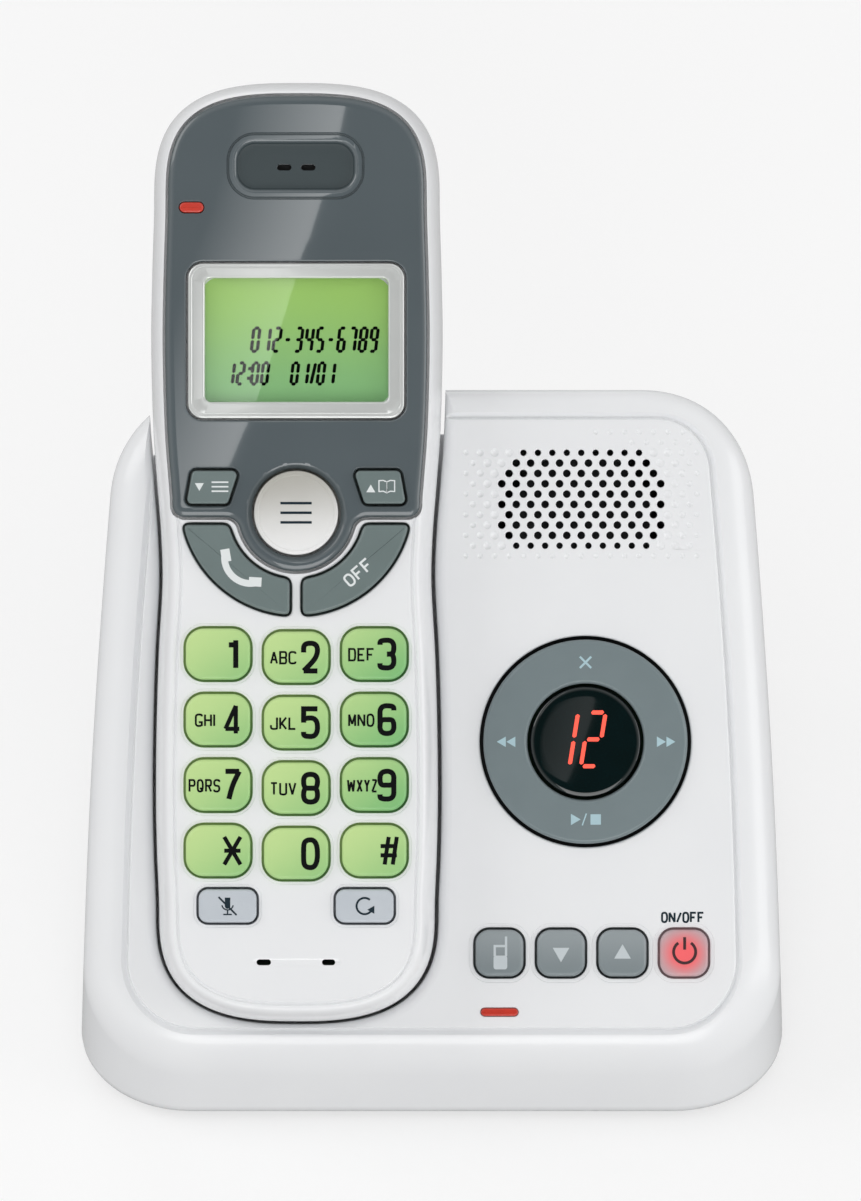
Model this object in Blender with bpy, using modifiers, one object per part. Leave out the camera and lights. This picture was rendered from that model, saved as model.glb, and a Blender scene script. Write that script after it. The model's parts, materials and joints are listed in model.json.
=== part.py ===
"""A cordless telephone: a slim handset docked in its sloped answering base.

Lengths are in metres. X is to the right, the front faces -Y and Z is up. Three empties carry the pieces:
base stands level on the table, slope lies on the base's sloped top, with its Z square to that top, and
handset lies in the cradle with its Y from the tail to the crown and its Z from the back to the keys.
"""

import math

import bmesh
import bpy
from mathutils import Matrix, Vector

# Shared clearances
GAP = 0.0003  # between pieces that touch
OVERRUN = 0.002  # how far a cutter runs past a face
CORNER_STEPS = 2
ROUND_SIDES = 16

# Base shell: a wedge whose top slopes up to the back
SLOPE = math.radians(35)
BASE_LENGTH = 0.1115  # along the slope
BASE_FRONT_WIDTH = 0.1174
BASE_BACK_WIDTH = 0.1050
BASE_CORNER = 0.017
BASE_CORNER_STEPS = 5
BASE_BOW = 0.0012  # how far the sides bow out halfway along
BASE_BOW_STEPS = 4
BASE_LIP = 0.020  # height of the slope's front edge
BASE_EDGE = (0.0050, 0.0046)  # the rolled edge of the slope: its width and its drop
BASE_EDGE_STEPS = 4
BASE_DRAFT = 0.001
BASE_WALL = 0.0025
COVER_THICKNESS = 0.0025
FOOT_HEIGHT = 0.0025
FOOT_RADIUS = 0.005
FOOT_INSET = 0.013  # from the base's ends and sides to a foot's centre

# Handset shell
HANDSET_WIDTH = 0.0488
HANDSET_THICKNESS = 0.027
HANDSET_PARTING = 0.0145  # height of the parting plane over the back
HANDSET_WALL = 0.002
HANDSET_FRONT_WALL = 0.0025
HANDSET_BACK_WALL = 0.0035
HANDSET_FRONT_EDGE = 0.0026  # white rim round the face
HANDSET_BACK_EDGE = 0.0065  # how far the rounded back is drawn in
CROWN_LENGTH = 0.020
CROWN_POWER = 2.9
TAIL_LENGTH = 0.018
TAIL_POWER = 2.7
END_STEPS = 7
HEAD_RELIEF = 0.005  # the head is thinner than the battery bulge by this
RELIEF_START = 0.096
RELIEF_END = 0.112
# Shares of the length and of the half width, from the tail to the crown: the sides draw in to a waist
SIDE_SHARES = (
    (0.115, 0.945), (0.180, 0.960), (0.240, 0.967), (0.320, 0.962), (0.395, 0.947), (0.470, 0.922),
    (0.520, 0.932), (0.570, 0.957), (0.630, 0.985), (0.725, 1.000), (0.800, 0.992), (0.873, 0.980),
)
BACK_INSET_SHARES = ((0.09, 0.55), (0.34, 0.22), (0.69, 0.06), (1.00, 0.00))  # of the edge, of the height
FRONT_INSET_SHARES = ((0.08, 0.35), (0.38, 0.82), (1.00, 1.00))
HOLLOW_INSET_SHARES = ((0.08, 0.35), (0.38, 1.00))

# Handset in its cradle
HANDSET_X = -0.0226  # its centre line from the base's centre line
HANDSET_V = 0.00533  # its tail from the slope's front edge
POCKET_DEPTH = 0.014
POCKET_CLEARANCE = 0.0008
SEAT_GAP = 0.0004

# Keys
KEY_CLEARANCE = 0.0004
KEY_RISE = 0.001
KEY_EDGE = 0.0004
KEY_FLANGE = 0.0006  # width and height of the rim that holds a key under its panel
KEY_TRAVEL = 0.0008
MAT_THICKNESS = 0.0010
BOARD_THICKNESS = 0.0014

DIAL_KEY_SIZE = (0.0107, 0.0085)
DIAL_KEY_CORNER = 0.003
DIAL_PITCH = (0.0130, 0.0109)
DIAL_GAP = 0.0022  # from the two small keys to the bottom row
DIAL_MIDDLE_DROP = 0.0005
DIAL_KEYS = (("key_star", "key_0", "key_pound"), ("key_7", "key_8", "key_9"),
             ("key_4", "key_5", "key_6"), ("key_1", "key_2", "key_3"))
SOFT_KEY_SIZE = (0.0096, 0.0055)
SOFT_KEY_CORNER = 0.0015
SOFT_KEY_X = 0.0114
SOFT_KEY_GAP = 0.00615  # from the microphone slots to the two small keys

MENU_RADIUS = 0.0070
FACE_BULGE_RADIUS = 0.0097
NAV_TOP = (0.0096, 0.01725)  # inner and outer ends of a key beside the menu button
NAV_FOOT = (0.0114, 0.01825)
NAV_RISE = (0.0015, 0.0070)  # of its two edges over the menu button's centre
NAV_CORNER = 0.0008
CALL_OUTER_RADIUS = 0.0192
CALL_OUTER_RISE = 0.0022  # of the outer arc's centre over the menu button's
CALL_INNER_RADIUS = 0.0106
CALL_TOP_DROP = 0.0020
CALL_GAP = 0.00225  # from the dial keys to the talk and off keys
CALL_SPLIT = 0.0022  # between the talk and off keys
CALL_STEPS = 6

# Faceplate, display and what lies behind them
FACE_START_DROP = 0.0007  # of its lower edge under the menu button's centre
FACE_CORNER_RISE = 0.0020
FACE_RECESS = 0.0012
FACE_THICKNESS = 0.0015
LENS_SIZE = (0.0360, 0.0258)
LENS_GAP = 0.0087  # from the keys beside the menu button to the lens
LENS_CORNER = 0.0025
LENS_THICKNESS = 0.0018
LENS_LEDGE = 0.0024
LCD_SIZE = (0.0335, 0.0245)
EAR_GAP = 0.0160  # from the lens to the earpiece slots
EAR_MARGIN = 0.0145  # from the earpiece slots to the crown
EAR_SLOT = (0.0024, 0.0010)
EAR_SLOT_X = 0.0020
RECEIVER_RADIUS = 0.0080
RECEIVER_THICKNESS = 0.0035
CHARGE_LIGHT_SIZE = (0.0040, 0.0017)
CHARGE_LIGHT_X = -0.0174
CHARGE_LIGHT_GAP = 0.0093  # from the lens to the light
MIC_V = 0.0102
MIC_SLOT = (0.0022, 0.0010)
MIC_SLOT_X = 0.0054
MIC_RADIUS = 0.0030
MIC_PORT_RADIUS = 0.0006

# Handset board, mat, posts and screws
BOARD_START_V = 0.0060
BOARD_MARGIN = 0.0005  # from its head end to the lens's
BOARD_WIDTH = 0.0380
BOARD_CORNER = 0.0080
MAT_MARGINS = (0.00085, 0.0025)  # past the lowest and the highest keys that it lies under
MAT_WIDTH = 0.0385
POST_RADIUS = 0.0015
POST_X = 0.0120
POST_RISE = 0.0050  # over the keys beside the menu button
HANDSET_SCREW_X = 0.0160
HANDSET_SCREW_GAP = 0.0035  # from the lens
HANDSET_BOSS_RADIUS = 0.0026
HANDSET_SCREW_RADIUS = 0.0010
HANDSET_SCREW_HEAD = (0.0019, 0.0012)  # radius and height
HANDSET_SCREW_LENGTH = 0.0110

# Battery
DOOR_SIZE = (0.0330, 0.0680)
DOOR_START_V = 0.0200
DOOR_THICKNESS = 0.0018
DOOR_CORNER = 0.0030
BATTERY_SIZE = (0.0315, 0.0445, 0.0105)
BATTERY_START_V = 0.0250
BAY_CLEARANCE = 0.0004
BAY_WALL = 0.0012

# Charge contacts
CONTACT_X = 0.0070
CONTACT_V = 0.0120
HANDSET_CONTACT_SIZE = (0.0040, 0.0060)
HANDSET_CONTACT_RECESS = 0.0008
CRADLE_CONTACT_SIZE = (0.0030, 0.0050)
CONTACT_FLANGE = 0.0008
CONTACT_CORNER = 0.0006

# Rocker ring on the slope
RING_OUTER_RADIUS = 0.0171
RING_INNER_RADIUS = 0.00975
RING_CLEARANCE = 0.0006
RING_RISE = 0.0013
RING_DEPTH = 0.0024  # of its underside below the slope
RING_SWING = 0.0006  # room for its tilt over the carrier
CARRIER_THICKNESS = 0.0010
CARRIER_LAP = 0.0010  # how far the carrier reaches under the panel
WINDOW_RADIUS = 0.00925
WINDOW_RISE = 0.0008
WINDOW_THICKNESS = 0.0028
MODULE_RADIUS = 0.0085
RING_SIDES = 30

# Buttons, light and speaker on the slope
BASE_BUTTON_SIZE = (0.0080, 0.0078)
BASE_BUTTON_CORNER = 0.0023
BASE_BUTTON_PITCH = 0.0103
BASE_BUTTONS = ("find_handset_button", "volume_down_button", "volume_up_button", "answer_on_off_button")
BASE_MAT_MARGIN = 0.0014
IN_USE_SIZE = (0.0062, 0.0013)
IN_USE_V = 0.0068
BASE_BOARD_MARGINS = (0.0011, 0.0010)  # from the cradle's tub, and past the last button
BASE_BOARD_REACH = (0.0013, 0.0239)  # before the in-use light, and past the ring's centre
BASE_BOARD_CORNER = 0.0080
# Posts that hold the board: left and right of the ring's centre, before it and past it
BASE_POST_FRONT_SIDES = (-0.0167, 0.0188)
BASE_POST_BACK_SIDES = (-0.0167, 0.0173)
BASE_POST_GAP = 0.0055  # from the button mat to the front posts' centres
BASE_POST_RISE = 0.0219  # of the back posts over the ring's centre
SPEAKER_RADIUS = 0.0120
SPEAKER_RIM = 0.0012
SPEAKER_DEPTH = 0.0055
MAGNET_RADIUS = 0.0065
GRILLE_RISE = 0.0115  # of its top row over the loudspeaker's centre
GRILLE_PITCH = (0.00242, 0.00173)
GRILLE_HOLE_RADIUS = 0.00062
GRILLE_ROWS = (9, 10, 11, 12, 11, 12, 11, 12, 11, 10)
GRILLE_SIDES = 6

# Jacks, screws and keyholes at the back and underneath
JACK_SIZE = (0.0140, 0.0160, 0.0120)
JACK_SOCKETS = {"line_jack": (0.0100, 0.0120, 0.0070), "power_jack": (0.0070, 0.0120, 0.0070)}
JACK_X = {"line_jack": 0.0260, "power_jack": 0.0080}
BASE_BOSS_RADIUS = 0.0035
BASE_SCREW_V = (0.0300, 0.0850)
BASE_SCREW_RADIUS = 0.0014
BASE_SCREW_HEAD = (0.0028, 0.0015)
BASE_SCREW_LENGTH = 0.0110
KEYHOLE_X = 0.0150
KEYHOLE_Y = (0.0200, 0.0640)
KEYHOLE_RADIUS = 0.0042
KEYHOLE_SLOT = (0.0046, 0.0080)  # width and reach toward the back

# What is left of the slope's width right of the cradle: the share of it that lies before each row
RING_SIDE_SHARE = 0.261
BUTTON_SIDE_SHARE = 0.2733
SPEAKER_SIDE_SHARE = 0.324
# What is left of its length: before the buttons, the ring and the loudspeaker
ROW_SHARES = (0.145, 0.3745, 0.1955)

# Colour, roughness and metallic value of each finish
FINISHES = {
    "white_shell": ((0.84, 0.85, 0.86), 0.28, 0),
    "grey_gloss": ((0.11, 0.13, 0.14), 0.15, 0),
    "grey_key": ((0.18, 0.22, 0.21), 0.35, 0),
    "silver": ((0.62, 0.61, 0.59), 0.25, 1),
    "clear_lens": ((0.75, 0.78, 0.78), 0.08, 0),
    "green_display": ((0.28, 0.52, 0.13), 0.40, 0),
    "green_key": ((0.32, 0.60, 0.22), 0.40, 0),
    "pale_key": ((0.56, 0.61, 0.65), 0.40, 0),
    "red_light": ((0.60, 0.05, 0.04), 0.30, 0),
    "red_key": ((0.80, 0.20, 0.22), 0.40, 0),
    "black_glass": ((0.01, 0.01, 0.01), 0.08, 0),
    "black_plastic": ((0.03, 0.03, 0.03), 0.50, 0),
    "grey_rubber": ((0.20, 0.20, 0.20), 0.80, 0),
    "board_green": ((0.03, 0.16, 0.07), 0.50, 0),
    "battery_wrap": ((0.10, 0.16, 0.32), 0.45, 0),
    "steel": ((0.60, 0.60, 0.60), 0.30, 1),
    "gold_contact": ((0.80, 0.60, 0.25), 0.30, 1),
}


# Places along the handset, from the tail up
SOFT_KEY_V = MIC_V + MIC_SLOT[1] / 2 + SOFT_KEY_GAP + SOFT_KEY_SIZE[1] / 2
DIAL_BOTTOM_V = SOFT_KEY_V + SOFT_KEY_SIZE[1] / 2 + DIAL_GAP + DIAL_KEY_SIZE[1] / 2
DIAL_TOP_V = DIAL_BOTTOM_V + (len(DIAL_KEYS) - 1) * DIAL_PITCH[1] + DIAL_KEY_SIZE[1] / 2
MENU_V = DIAL_TOP_V + CALL_GAP + CALL_OUTER_RADIUS - CALL_OUTER_RISE
NAV_V = (MENU_V + NAV_RISE[0], MENU_V + NAV_RISE[1])
FACE_START_V = MENU_V - FACE_START_DROP
LENS_V = NAV_V[1] + LENS_GAP + LENS_SIZE[1] / 2
LENS_TOP_V = LENS_V + LENS_SIZE[1] / 2
EAR_V = LENS_TOP_V + EAR_GAP
HANDSET_LENGTH = EAR_V + EAR_MARGIN
CHARGE_LIGHT_PLACE = (CHARGE_LIGHT_X, LENS_TOP_V + CHARGE_LIGHT_GAP)
HANDSET_SCREW_V = LENS_TOP_V + HANDSET_SCREW_GAP
BOARD_END_V = LENS_TOP_V - BOARD_MARGIN
MAT_START_V = SOFT_KEY_V - SOFT_KEY_SIZE[1] / 2 - MAT_MARGINS[0]
MAT_END_V = NAV_V[1] + MAT_MARGINS[1]
POST_PLACES = ((0.0, SOFT_KEY_V), (-POST_X, NAV_V[1] + POST_RISE), (POST_X, NAV_V[1] + POST_RISE))


def between(low, high, size, share):
    """The middle of something between two edges: the share is of the room left over, and lies before it."""
    return low + (high - low - size) * share + size / 2


# Places on the slope: across it from the cradle's right edge, along it from the in-use light
POCKET_EDGE = HANDSET_X + HANDSET_WIDTH / 2 + POCKET_CLEARANCE
PANEL_EDGE = BASE_FRONT_WIDTH / 2
RING_ROOM = 2 * (RING_OUTER_RADIUS + RING_CLEARANCE)
BUTTON_ROW = (len(BASE_BUTTONS) - 1) * BASE_BUTTON_PITCH + BASE_BUTTON_SIZE[0]
RING_X = between(POCKET_EDGE, PANEL_EDGE, RING_ROOM, RING_SIDE_SHARE)
SPEAKER_X = between(POCKET_EDGE, PANEL_EDGE, 2 * SPEAKER_RADIUS, SPEAKER_SIDE_SHARE)
BUTTON_ROW_X = between(POCKET_EDGE, PANEL_EDGE, BUTTON_ROW, BUTTON_SIDE_SHARE)
BASE_BUTTON_X = BUTTON_ROW_X - (BUTTON_ROW - BASE_BUTTON_SIZE[0]) / 2
IN_USE_END_V = IN_USE_V + IN_USE_SIZE[1] / 2
FREE_LENGTH = BASE_LENGTH - IN_USE_END_V - BASE_BUTTON_SIZE[1] - RING_ROOM - 2 * SPEAKER_RADIUS
BASE_BUTTON_V = IN_USE_END_V + ROW_SHARES[0] * FREE_LENGTH + BASE_BUTTON_SIZE[1] / 2
RING_V = BASE_BUTTON_V + BASE_BUTTON_SIZE[1] / 2 + ROW_SHARES[1] * FREE_LENGTH + RING_ROOM / 2
SPEAKER_V = RING_V + RING_ROOM / 2 + ROW_SHARES[2] * FREE_LENGTH + SPEAKER_RADIUS
GRILLE_TOP_V = SPEAKER_V + GRILLE_RISE
BASE_BOARD_X = (POCKET_EDGE + BASE_WALL + BASE_BOARD_MARGINS[0],
                BUTTON_ROW_X + BUTTON_ROW / 2 + BASE_BOARD_MARGINS[1])
BASE_BOARD_V = (IN_USE_V - BASE_BOARD_REACH[0], RING_V + BASE_BOARD_REACH[1])
BASE_MAT_END_V = BASE_BUTTON_V + BASE_BUTTON_SIZE[1] / 2 + BASE_MAT_MARGIN
BASE_POST_PLACES = [(RING_X + x, BASE_MAT_END_V + BASE_POST_GAP) for x in BASE_POST_FRONT_SIDES]
BASE_POST_PLACES += [(RING_X + x, RING_V + BASE_POST_RISE) for x in BASE_POST_BACK_SIDES]


def clear_scene():
    for old in list(bpy.data.objects):
        bpy.data.objects.remove(old)


def new_collection(name):
    made = bpy.data.collections.new(name)
    bpy.context.scene.collection.children.link(made)
    return made


def new_empty(name, parent=None, place=(0, 0, 0), tilt=0):
    made = bpy.data.objects.new(name, None)
    PARTS.objects.link(made)
    made.parent = parent
    made.location = place
    made.rotation_euler.x = tilt
    return made


def finish(name):
    """The material of a finish, made when it is first asked for."""
    if name in bpy.data.materials:
        return bpy.data.materials[name]
    made = bpy.data.materials.new(name)
    made.use_nodes = True
    colour, roughness, metallic = FINISHES[name]
    shader = made.node_tree.nodes["Principled BSDF"]
    shader.inputs["Base Color"].default_value = (*colour, 1)
    shader.inputs["Roughness"].default_value = roughness
    shader.inputs["Metallic"].default_value = metallic
    return made


def add(name, mesh, frame, place, look):
    """Put a mesh in the scene: a piece with a finish, or a cutter where look is None."""
    made = bpy.data.objects.new(name, mesh)
    made.parent = frame
    made.location = place
    if look is None:
        CUTTERS.objects.link(made)
        made.hide_render = True
        made.display_type = "WIRE"
    else:
        PARTS.objects.link(made)
        mesh.materials.append(finish(look))
    return made


# Outlines: lists of 2D points, counterclockwise


def rounded(corners, radius, steps=CORNER_STEPS):
    """A polygon with each of its corners rounded by an arc."""
    points = []
    for i, corner in enumerate(corners):
        corner = Vector(corner)
        to_last = (Vector(corners[i - 1]) - corner).normalized()
        to_next = (Vector(corners[(i + 1) % len(corners)]) - corner).normalized()
        half = to_last.angle(to_next) / 2
        centre = corner + (to_last + to_next).normalized() * (radius / math.sin(half))
        arm = corner + to_last * (radius / math.tan(half)) - centre
        sweep = math.pi - 2 * half
        points += [centre + Matrix.Rotation(sweep * k / steps, 2) @ arm for k in range(steps + 1)]
    return points


def rectangle(size, corner, steps=CORNER_STEPS):
    x, y = size[0] / 2, size[1] / 2
    return rounded([(-x, -y), (x, -y), (x, y), (-x, y)], corner, steps)


def arc(centre, radius, start, end, steps):
    turns = [start + (end - start) * k / steps for k in range(steps + 1)]
    return [Vector(centre) + radius * Vector((math.cos(turn), math.sin(turn))) for turn in turns]


def circle(radius, sides=ROUND_SIDES):
    return arc((0, 0), radius, 0, math.tau, sides)[:-1]


def pill(size):
    """A slot with round ends, lying along X."""
    half, end = (size[0] - size[1]) / 2, size[1] / 2
    right = arc((half, 0), end, -math.pi / 2, math.pi / 2, CORNER_STEPS)
    return right + mirrored(right)


def moved(outline, place):
    return [point + Vector(place) for point in outline]


def mirrored(outline):
    """The outline mirrored across X = 0, turned so that it still runs counterclockwise."""
    return [Vector((-point.x, point.y)) for point in reversed(outline)]


def grown(outline, distance):
    """The outline with every side moved out by the distance."""
    points = []
    for i, point in enumerate(outline):
        before = (point - outline[i - 1]).normalized()
        after = (outline[(i + 1) % len(outline)] - point).normalized()
        out = Vector((before.y + after.y, -before.x - after.x))
        points.append(point + out * (2 * distance / out.length_squared))
    return points


def rounded_end(half_width, length, power):
    """A quarter of a superellipse, from the middle of the end to the side."""
    turns = [math.pi / 2 * k / END_STEPS for k in range(END_STEPS + 1)]
    return [Vector((half_width * math.sin(turn) ** (2 / power),
                    length - length * math.cos(turn) ** (2 / power))) for turn in turns]


def handset_outline():
    """The handset seen from the front: a rounded tail, a waist, and a rounded crown."""
    half = HANDSET_WIDTH / 2
    tail = rounded_end(half * SIDE_SHARES[0][1], TAIL_LENGTH, TAIL_POWER)
    crown = rounded_end(half * SIDE_SHARES[-1][1], CROWN_LENGTH, CROWN_POWER)
    crown = [Vector((point.x, HANDSET_LENGTH - point.y)) for point in reversed(crown)]
    sides = [Vector((half * width, HANDSET_LENGTH * along)) for along, width in SIDE_SHARES[1:-1]]
    right = tail + sides + crown
    return right + mirrored(right[1:-1])


def base_outline():
    """A trapezoid with round corners, whose sides bow out by half a sine wave."""
    front, back = BASE_FRONT_WIDTH / 2, BASE_BACK_WIDTH / 2
    corners = [(-front, 0), (front, 0), (back, BASE_LENGTH), (-back, BASE_LENGTH)]
    right = [point for point in rounded(corners, BASE_CORNER, BASE_CORNER_STEPS) if point.x > 0]
    low, high = right[BASE_CORNER_STEPS], right[BASE_CORNER_STEPS + 1]
    side = [low.lerp(high, k / BASE_BOW_STEPS) for k in range(1, BASE_BOW_STEPS)]
    right[BASE_CORNER_STEPS + 1:BASE_CORNER_STEPS + 1] = side
    bowed = [point + Vector((BASE_BOW * math.sin(math.pi * point.y / BASE_LENGTH), 0)) for point in right]
    return bowed + mirrored(bowed)


def ground_outline():
    """The foot of the base's walls, seen from above."""
    flat = [Vector((point.x, point.y * math.cos(SLOPE))) for point in base_outline()]
    return grown(flat, BASE_DRAFT)


def face_outline():
    """The grey faceplate: the head's outline drawn in, with a bulge round the menu button."""
    inner = grown(handset_outline(), -HANDSET_FRONT_EDGE)
    side = [point for point in inner if point.x > 0 and point.y > FACE_START_V + FACE_CORNER_RISE]
    top = Vector((0, HANDSET_LENGTH - HANDSET_FRONT_EDGE))
    corner = Vector((side[0].x - FACE_CORNER_RISE, FACE_START_V))
    bulge_end = math.asin((FACE_START_V - MENU_V) / FACE_BULGE_RADIUS)
    bulge = arc((0, MENU_V), FACE_BULGE_RADIUS, -math.pi / 2, bulge_end, CALL_STEPS)
    right = bulge + [corner] + side + [top]
    return right + mirrored(right[1:-1])


def talk_outline():
    """The key left of the split below the menu button: a piece of a ring."""
    def at_top(radius, rise):
        """The turn at which an arc on the left meets the key's top edge."""
        return math.pi + math.asin((CALL_TOP_DROP + rise) / radius)

    def at_split(radius):
        """The turn at which it meets the split between the two keys."""
        return math.pi + math.acos(CALL_SPLIT / 2 / radius)

    outer = arc((0, MENU_V + CALL_OUTER_RISE), CALL_OUTER_RADIUS,
                at_top(CALL_OUTER_RADIUS, CALL_OUTER_RISE), at_split(CALL_OUTER_RADIUS), CALL_STEPS)
    inner = arc((0, MENU_V), CALL_INNER_RADIUS, at_split(CALL_INNER_RADIUS),
                at_top(CALL_INNER_RADIUS, 0), CALL_STEPS)
    return outer + inner


def nav_outline():
    """The key right of the menu button."""
    corners = [(NAV_FOOT[0], NAV_V[0]), (NAV_FOOT[1], NAV_V[0]), (NAV_TOP[1], NAV_V[1]),
               (NAV_TOP[0], NAV_V[1])]
    return rounded(corners, NAV_CORNER)


# Solids


def mesh_of(name, shape):
    bmesh.ops.recalc_face_normals(shape, faces=shape.faces)
    mesh = bpy.data.meshes.new(name)
    shape.to_mesh(mesh)
    shape.free()
    return mesh


def close_across(shape, ring):
    """Close a ring that is alike left and right with strips that run straight across."""
    count = len(ring)
    shape.faces.new((ring[0], ring[1], ring[-1]))
    for i in range(1, count // 2 - 1):
        shape.faces.new((ring[i], ring[i + 1], ring[count - i - 1], ring[count - i]))
    shape.faces.new((ring[count // 2 - 1], ring[count // 2], ring[count // 2 + 1]))


def loft_in(shape, rings, across=False, closed=False):
    """Join rings of as many 3D points each into one skin, closed at its two ends or on itself."""
    loops = [[shape.verts.new(point) for point in ring] for ring in rings]
    pairs = list(zip(loops, loops[1:]))
    if closed:
        pairs.append((loops[-1], loops[0]))
    for low, high in pairs:
        for i in range(len(low)):
            shape.faces.new((low[i - 1], low[i], high[i], high[i - 1]))
    for ring in (() if closed else (loops[0], loops[-1])):
        if across:
            close_across(shape, ring)
        else:
            shape.faces.new(ring)


def loft(name, rings, frame, look, place=(0, 0, 0), across=False, closed=False):
    shape = bmesh.new()
    loft_in(shape, rings, across, closed)
    return add(name, mesh_of(name, shape), frame, place, look)


def layers(outline, profile):
    """The outline repeated up a profile: each step is how far it is grown, and its height."""
    return [[Vector((*point, height)) for point in grown(outline, grow)] for grow, height in profile]


def stack(name, outline, profile, frame, look, place=(0, 0, 0), closed=False):
    return loft(name, layers(outline, profile), frame, look, place, closed=closed)


def prisms(name, outlines, low, high, frame):
    """One cutter of separate upright prisms."""
    shape = bmesh.new()
    for outline in outlines:
        loft_in(shape, layers(outline, ((0, low), (0, high))))
    return add(name, mesh_of(name, shape), frame, (0, 0, 0), None)


def box(name, low, high, frame, look):
    """A block between two corners."""
    low, high = Vector(low), Vector(high)
    shape = bmesh.new()
    bmesh.ops.create_cube(shape, size=1)
    bmesh.ops.scale(shape, vec=high - low, verts=shape.verts)
    return add(name, mesh_of(name, shape), frame, (low + high) / 2, look)


def turned(name, profile, frame, look, place, sides=ROUND_SIDES):
    """A turned piece: its profile runs down its outer side, from the axis to the axis."""
    mesh = bpy.data.meshes.new(name)
    edges = [(i, i + 1) for i in range(len(profile) - 1)]
    mesh.from_pydata([(radius, 0, height) for radius, height in profile], edges, [])
    made = add(name, mesh, frame, place, look)
    screw = made.modifiers.new("Turn", "SCREW")
    screw.steps = screw.render_steps = sides
    screw.use_merge_vertices = True
    screw.merge_threshold = GAP / sides
    return made


def cut(target, *cutters):
    for cutter in cutters:
        boolean = target.modifiers.new(cutter.name, "BOOLEAN")
        boolean.operation = "DIFFERENCE"
        boolean.object = cutter


# Heights in the handset, from its back


def handset_levels():
    """Heights of what lies under the keys, worked down from the underside of the front wall."""
    under = HANDSET_THICKNESS - HANDSET_FRONT_WALL
    flange_top = under - GAP
    flange_low = flange_top - KEY_FLANGE
    mat_top = flange_low - KEY_TRAVEL - GAP
    board_top = mat_top - MAT_THICKNESS - GAP
    face_low = HANDSET_THICKNESS - FACE_RECESS + GAP
    return {
        "under": under, "flange_top": flange_top, "flange_low": flange_low, "mat_top": mat_top,
        "mat_low": mat_top - MAT_THICKNESS, "board_top": board_top,
        "board_low": board_top - BOARD_THICKNESS, "face_low": face_low,
        "face_top": face_low + FACE_THICKNESS,
    }


def slope_levels():
    """Heights of what lies under the base's panel, from the slope."""
    under = -BASE_WALL
    flange_top = under - GAP
    flange_low = flange_top - KEY_FLANGE
    mat_top = flange_low - KEY_TRAVEL - GAP
    board_top = mat_top - MAT_THICKNESS - GAP
    return {
        "under": under, "flange_top": flange_top, "flange_low": flange_low, "mat_top": mat_top,
        "mat_low": mat_top - MAT_THICKNESS, "board_top": board_top,
        "board_low": board_top - BOARD_THICKNESS,
    }


def key_profile(levels, top):
    """A key cap with the flange that holds it under its panel, and a worn top edge."""
    return ((KEY_FLANGE, levels["flange_low"]), (KEY_FLANGE, levels["flange_top"]),
            (0, levels["flange_top"]), (0, top - KEY_EDGE), (-KEY_EDGE, top))


# Handset


def back_height(along):
    """How far the back rises toward the keys at a place along the handset: none at the battery."""
    share = (along - RELIEF_START) / (RELIEF_END - RELIEF_START)
    share = min(max(share, 0), 1)
    return HEAD_RELIEF * share * share * (3 - 2 * share)


def back_rings(inset, lift, rim):
    """Rings of the rounded back, from the parting plane down: inset and lift leave the wall."""
    outline = handset_outline()
    rings = [[Vector((*point, rim)) for point in grown(outline, -inset)]]
    for edge_share, height_share in BACK_INSET_SHARES:
        ring = []
        for point in grown(outline, -inset - HANDSET_BACK_EDGE * edge_share):
            low = back_height(point.y) + lift
            ring.append(Vector((*point, low + (HANDSET_PARTING - low) * height_share)))
        rings.append(ring)
    return rings


def front_rings(inset, top, inset_shares):
    """Rings of the front, from the parting plane up to the face."""
    outline = handset_outline()
    rim = HANDSET_PARTING + GAP / 2
    rings = [[Vector((*point, rim)) for point in grown(outline, -inset)]]
    for edge_share, height_share in inset_shares:
        height = HANDSET_PARTING + (top - HANDSET_PARTING) * height_share
        edge = grown(outline, -inset - HANDSET_FRONT_EDGE * edge_share)
        rings.append([Vector((*point, height)) for point in edge])
    return rings


def key_places():
    """Name, outline, place and finish of each key on the handset's white face."""
    keys = []
    outline = rectangle(DIAL_KEY_SIZE, DIAL_KEY_CORNER)
    for row, names in enumerate(DIAL_KEYS):
        for column, name in enumerate(names):
            drop = DIAL_MIDDLE_DROP if column == 1 else 0
            place = ((column - 1) * DIAL_PITCH[0], DIAL_BOTTOM_V + row * DIAL_PITCH[1] - drop)
            keys.append((name, outline, place, "green_key"))
    soft = rectangle(SOFT_KEY_SIZE, SOFT_KEY_CORNER)
    keys.append(("mute_key", soft, (-SOFT_KEY_X, SOFT_KEY_V), "pale_key"))
    keys.append(("redial_key", soft, (SOFT_KEY_X, SOFT_KEY_V), "pale_key"))
    keys.append(("talk_key", talk_outline(), (0, 0), "grey_key"))
    keys.append(("off_key", mirrored(talk_outline()), (0, 0), "grey_key"))
    return keys


def face_key_places():
    """The same of the keys in the grey faceplate."""
    return [
        ("menu_button", circle(MENU_RADIUS), (0, MENU_V), "silver"),
        ("directory_key", nav_outline(), (0, 0), "grey_key"),
        ("call_list_key", mirrored(nav_outline()), (0, 0), "grey_key"),
    ]


def key_holes(keys):
    return [grown(moved(outline, place), KEY_CLEARANCE) for _, outline, place, _ in keys]


def bosses(name, places, radius, low, high, frame):
    return prisms(name, [moved(circle(radius), place) for place in places], low, high, frame)


def handset_screw_places():
    return [(side * HANDSET_SCREW_X, HANDSET_SCREW_V) for side in (-1, 1)]


def contact_places():
    return [(side * CONTACT_X, CONTACT_V) for side in (-1, 1)]


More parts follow.
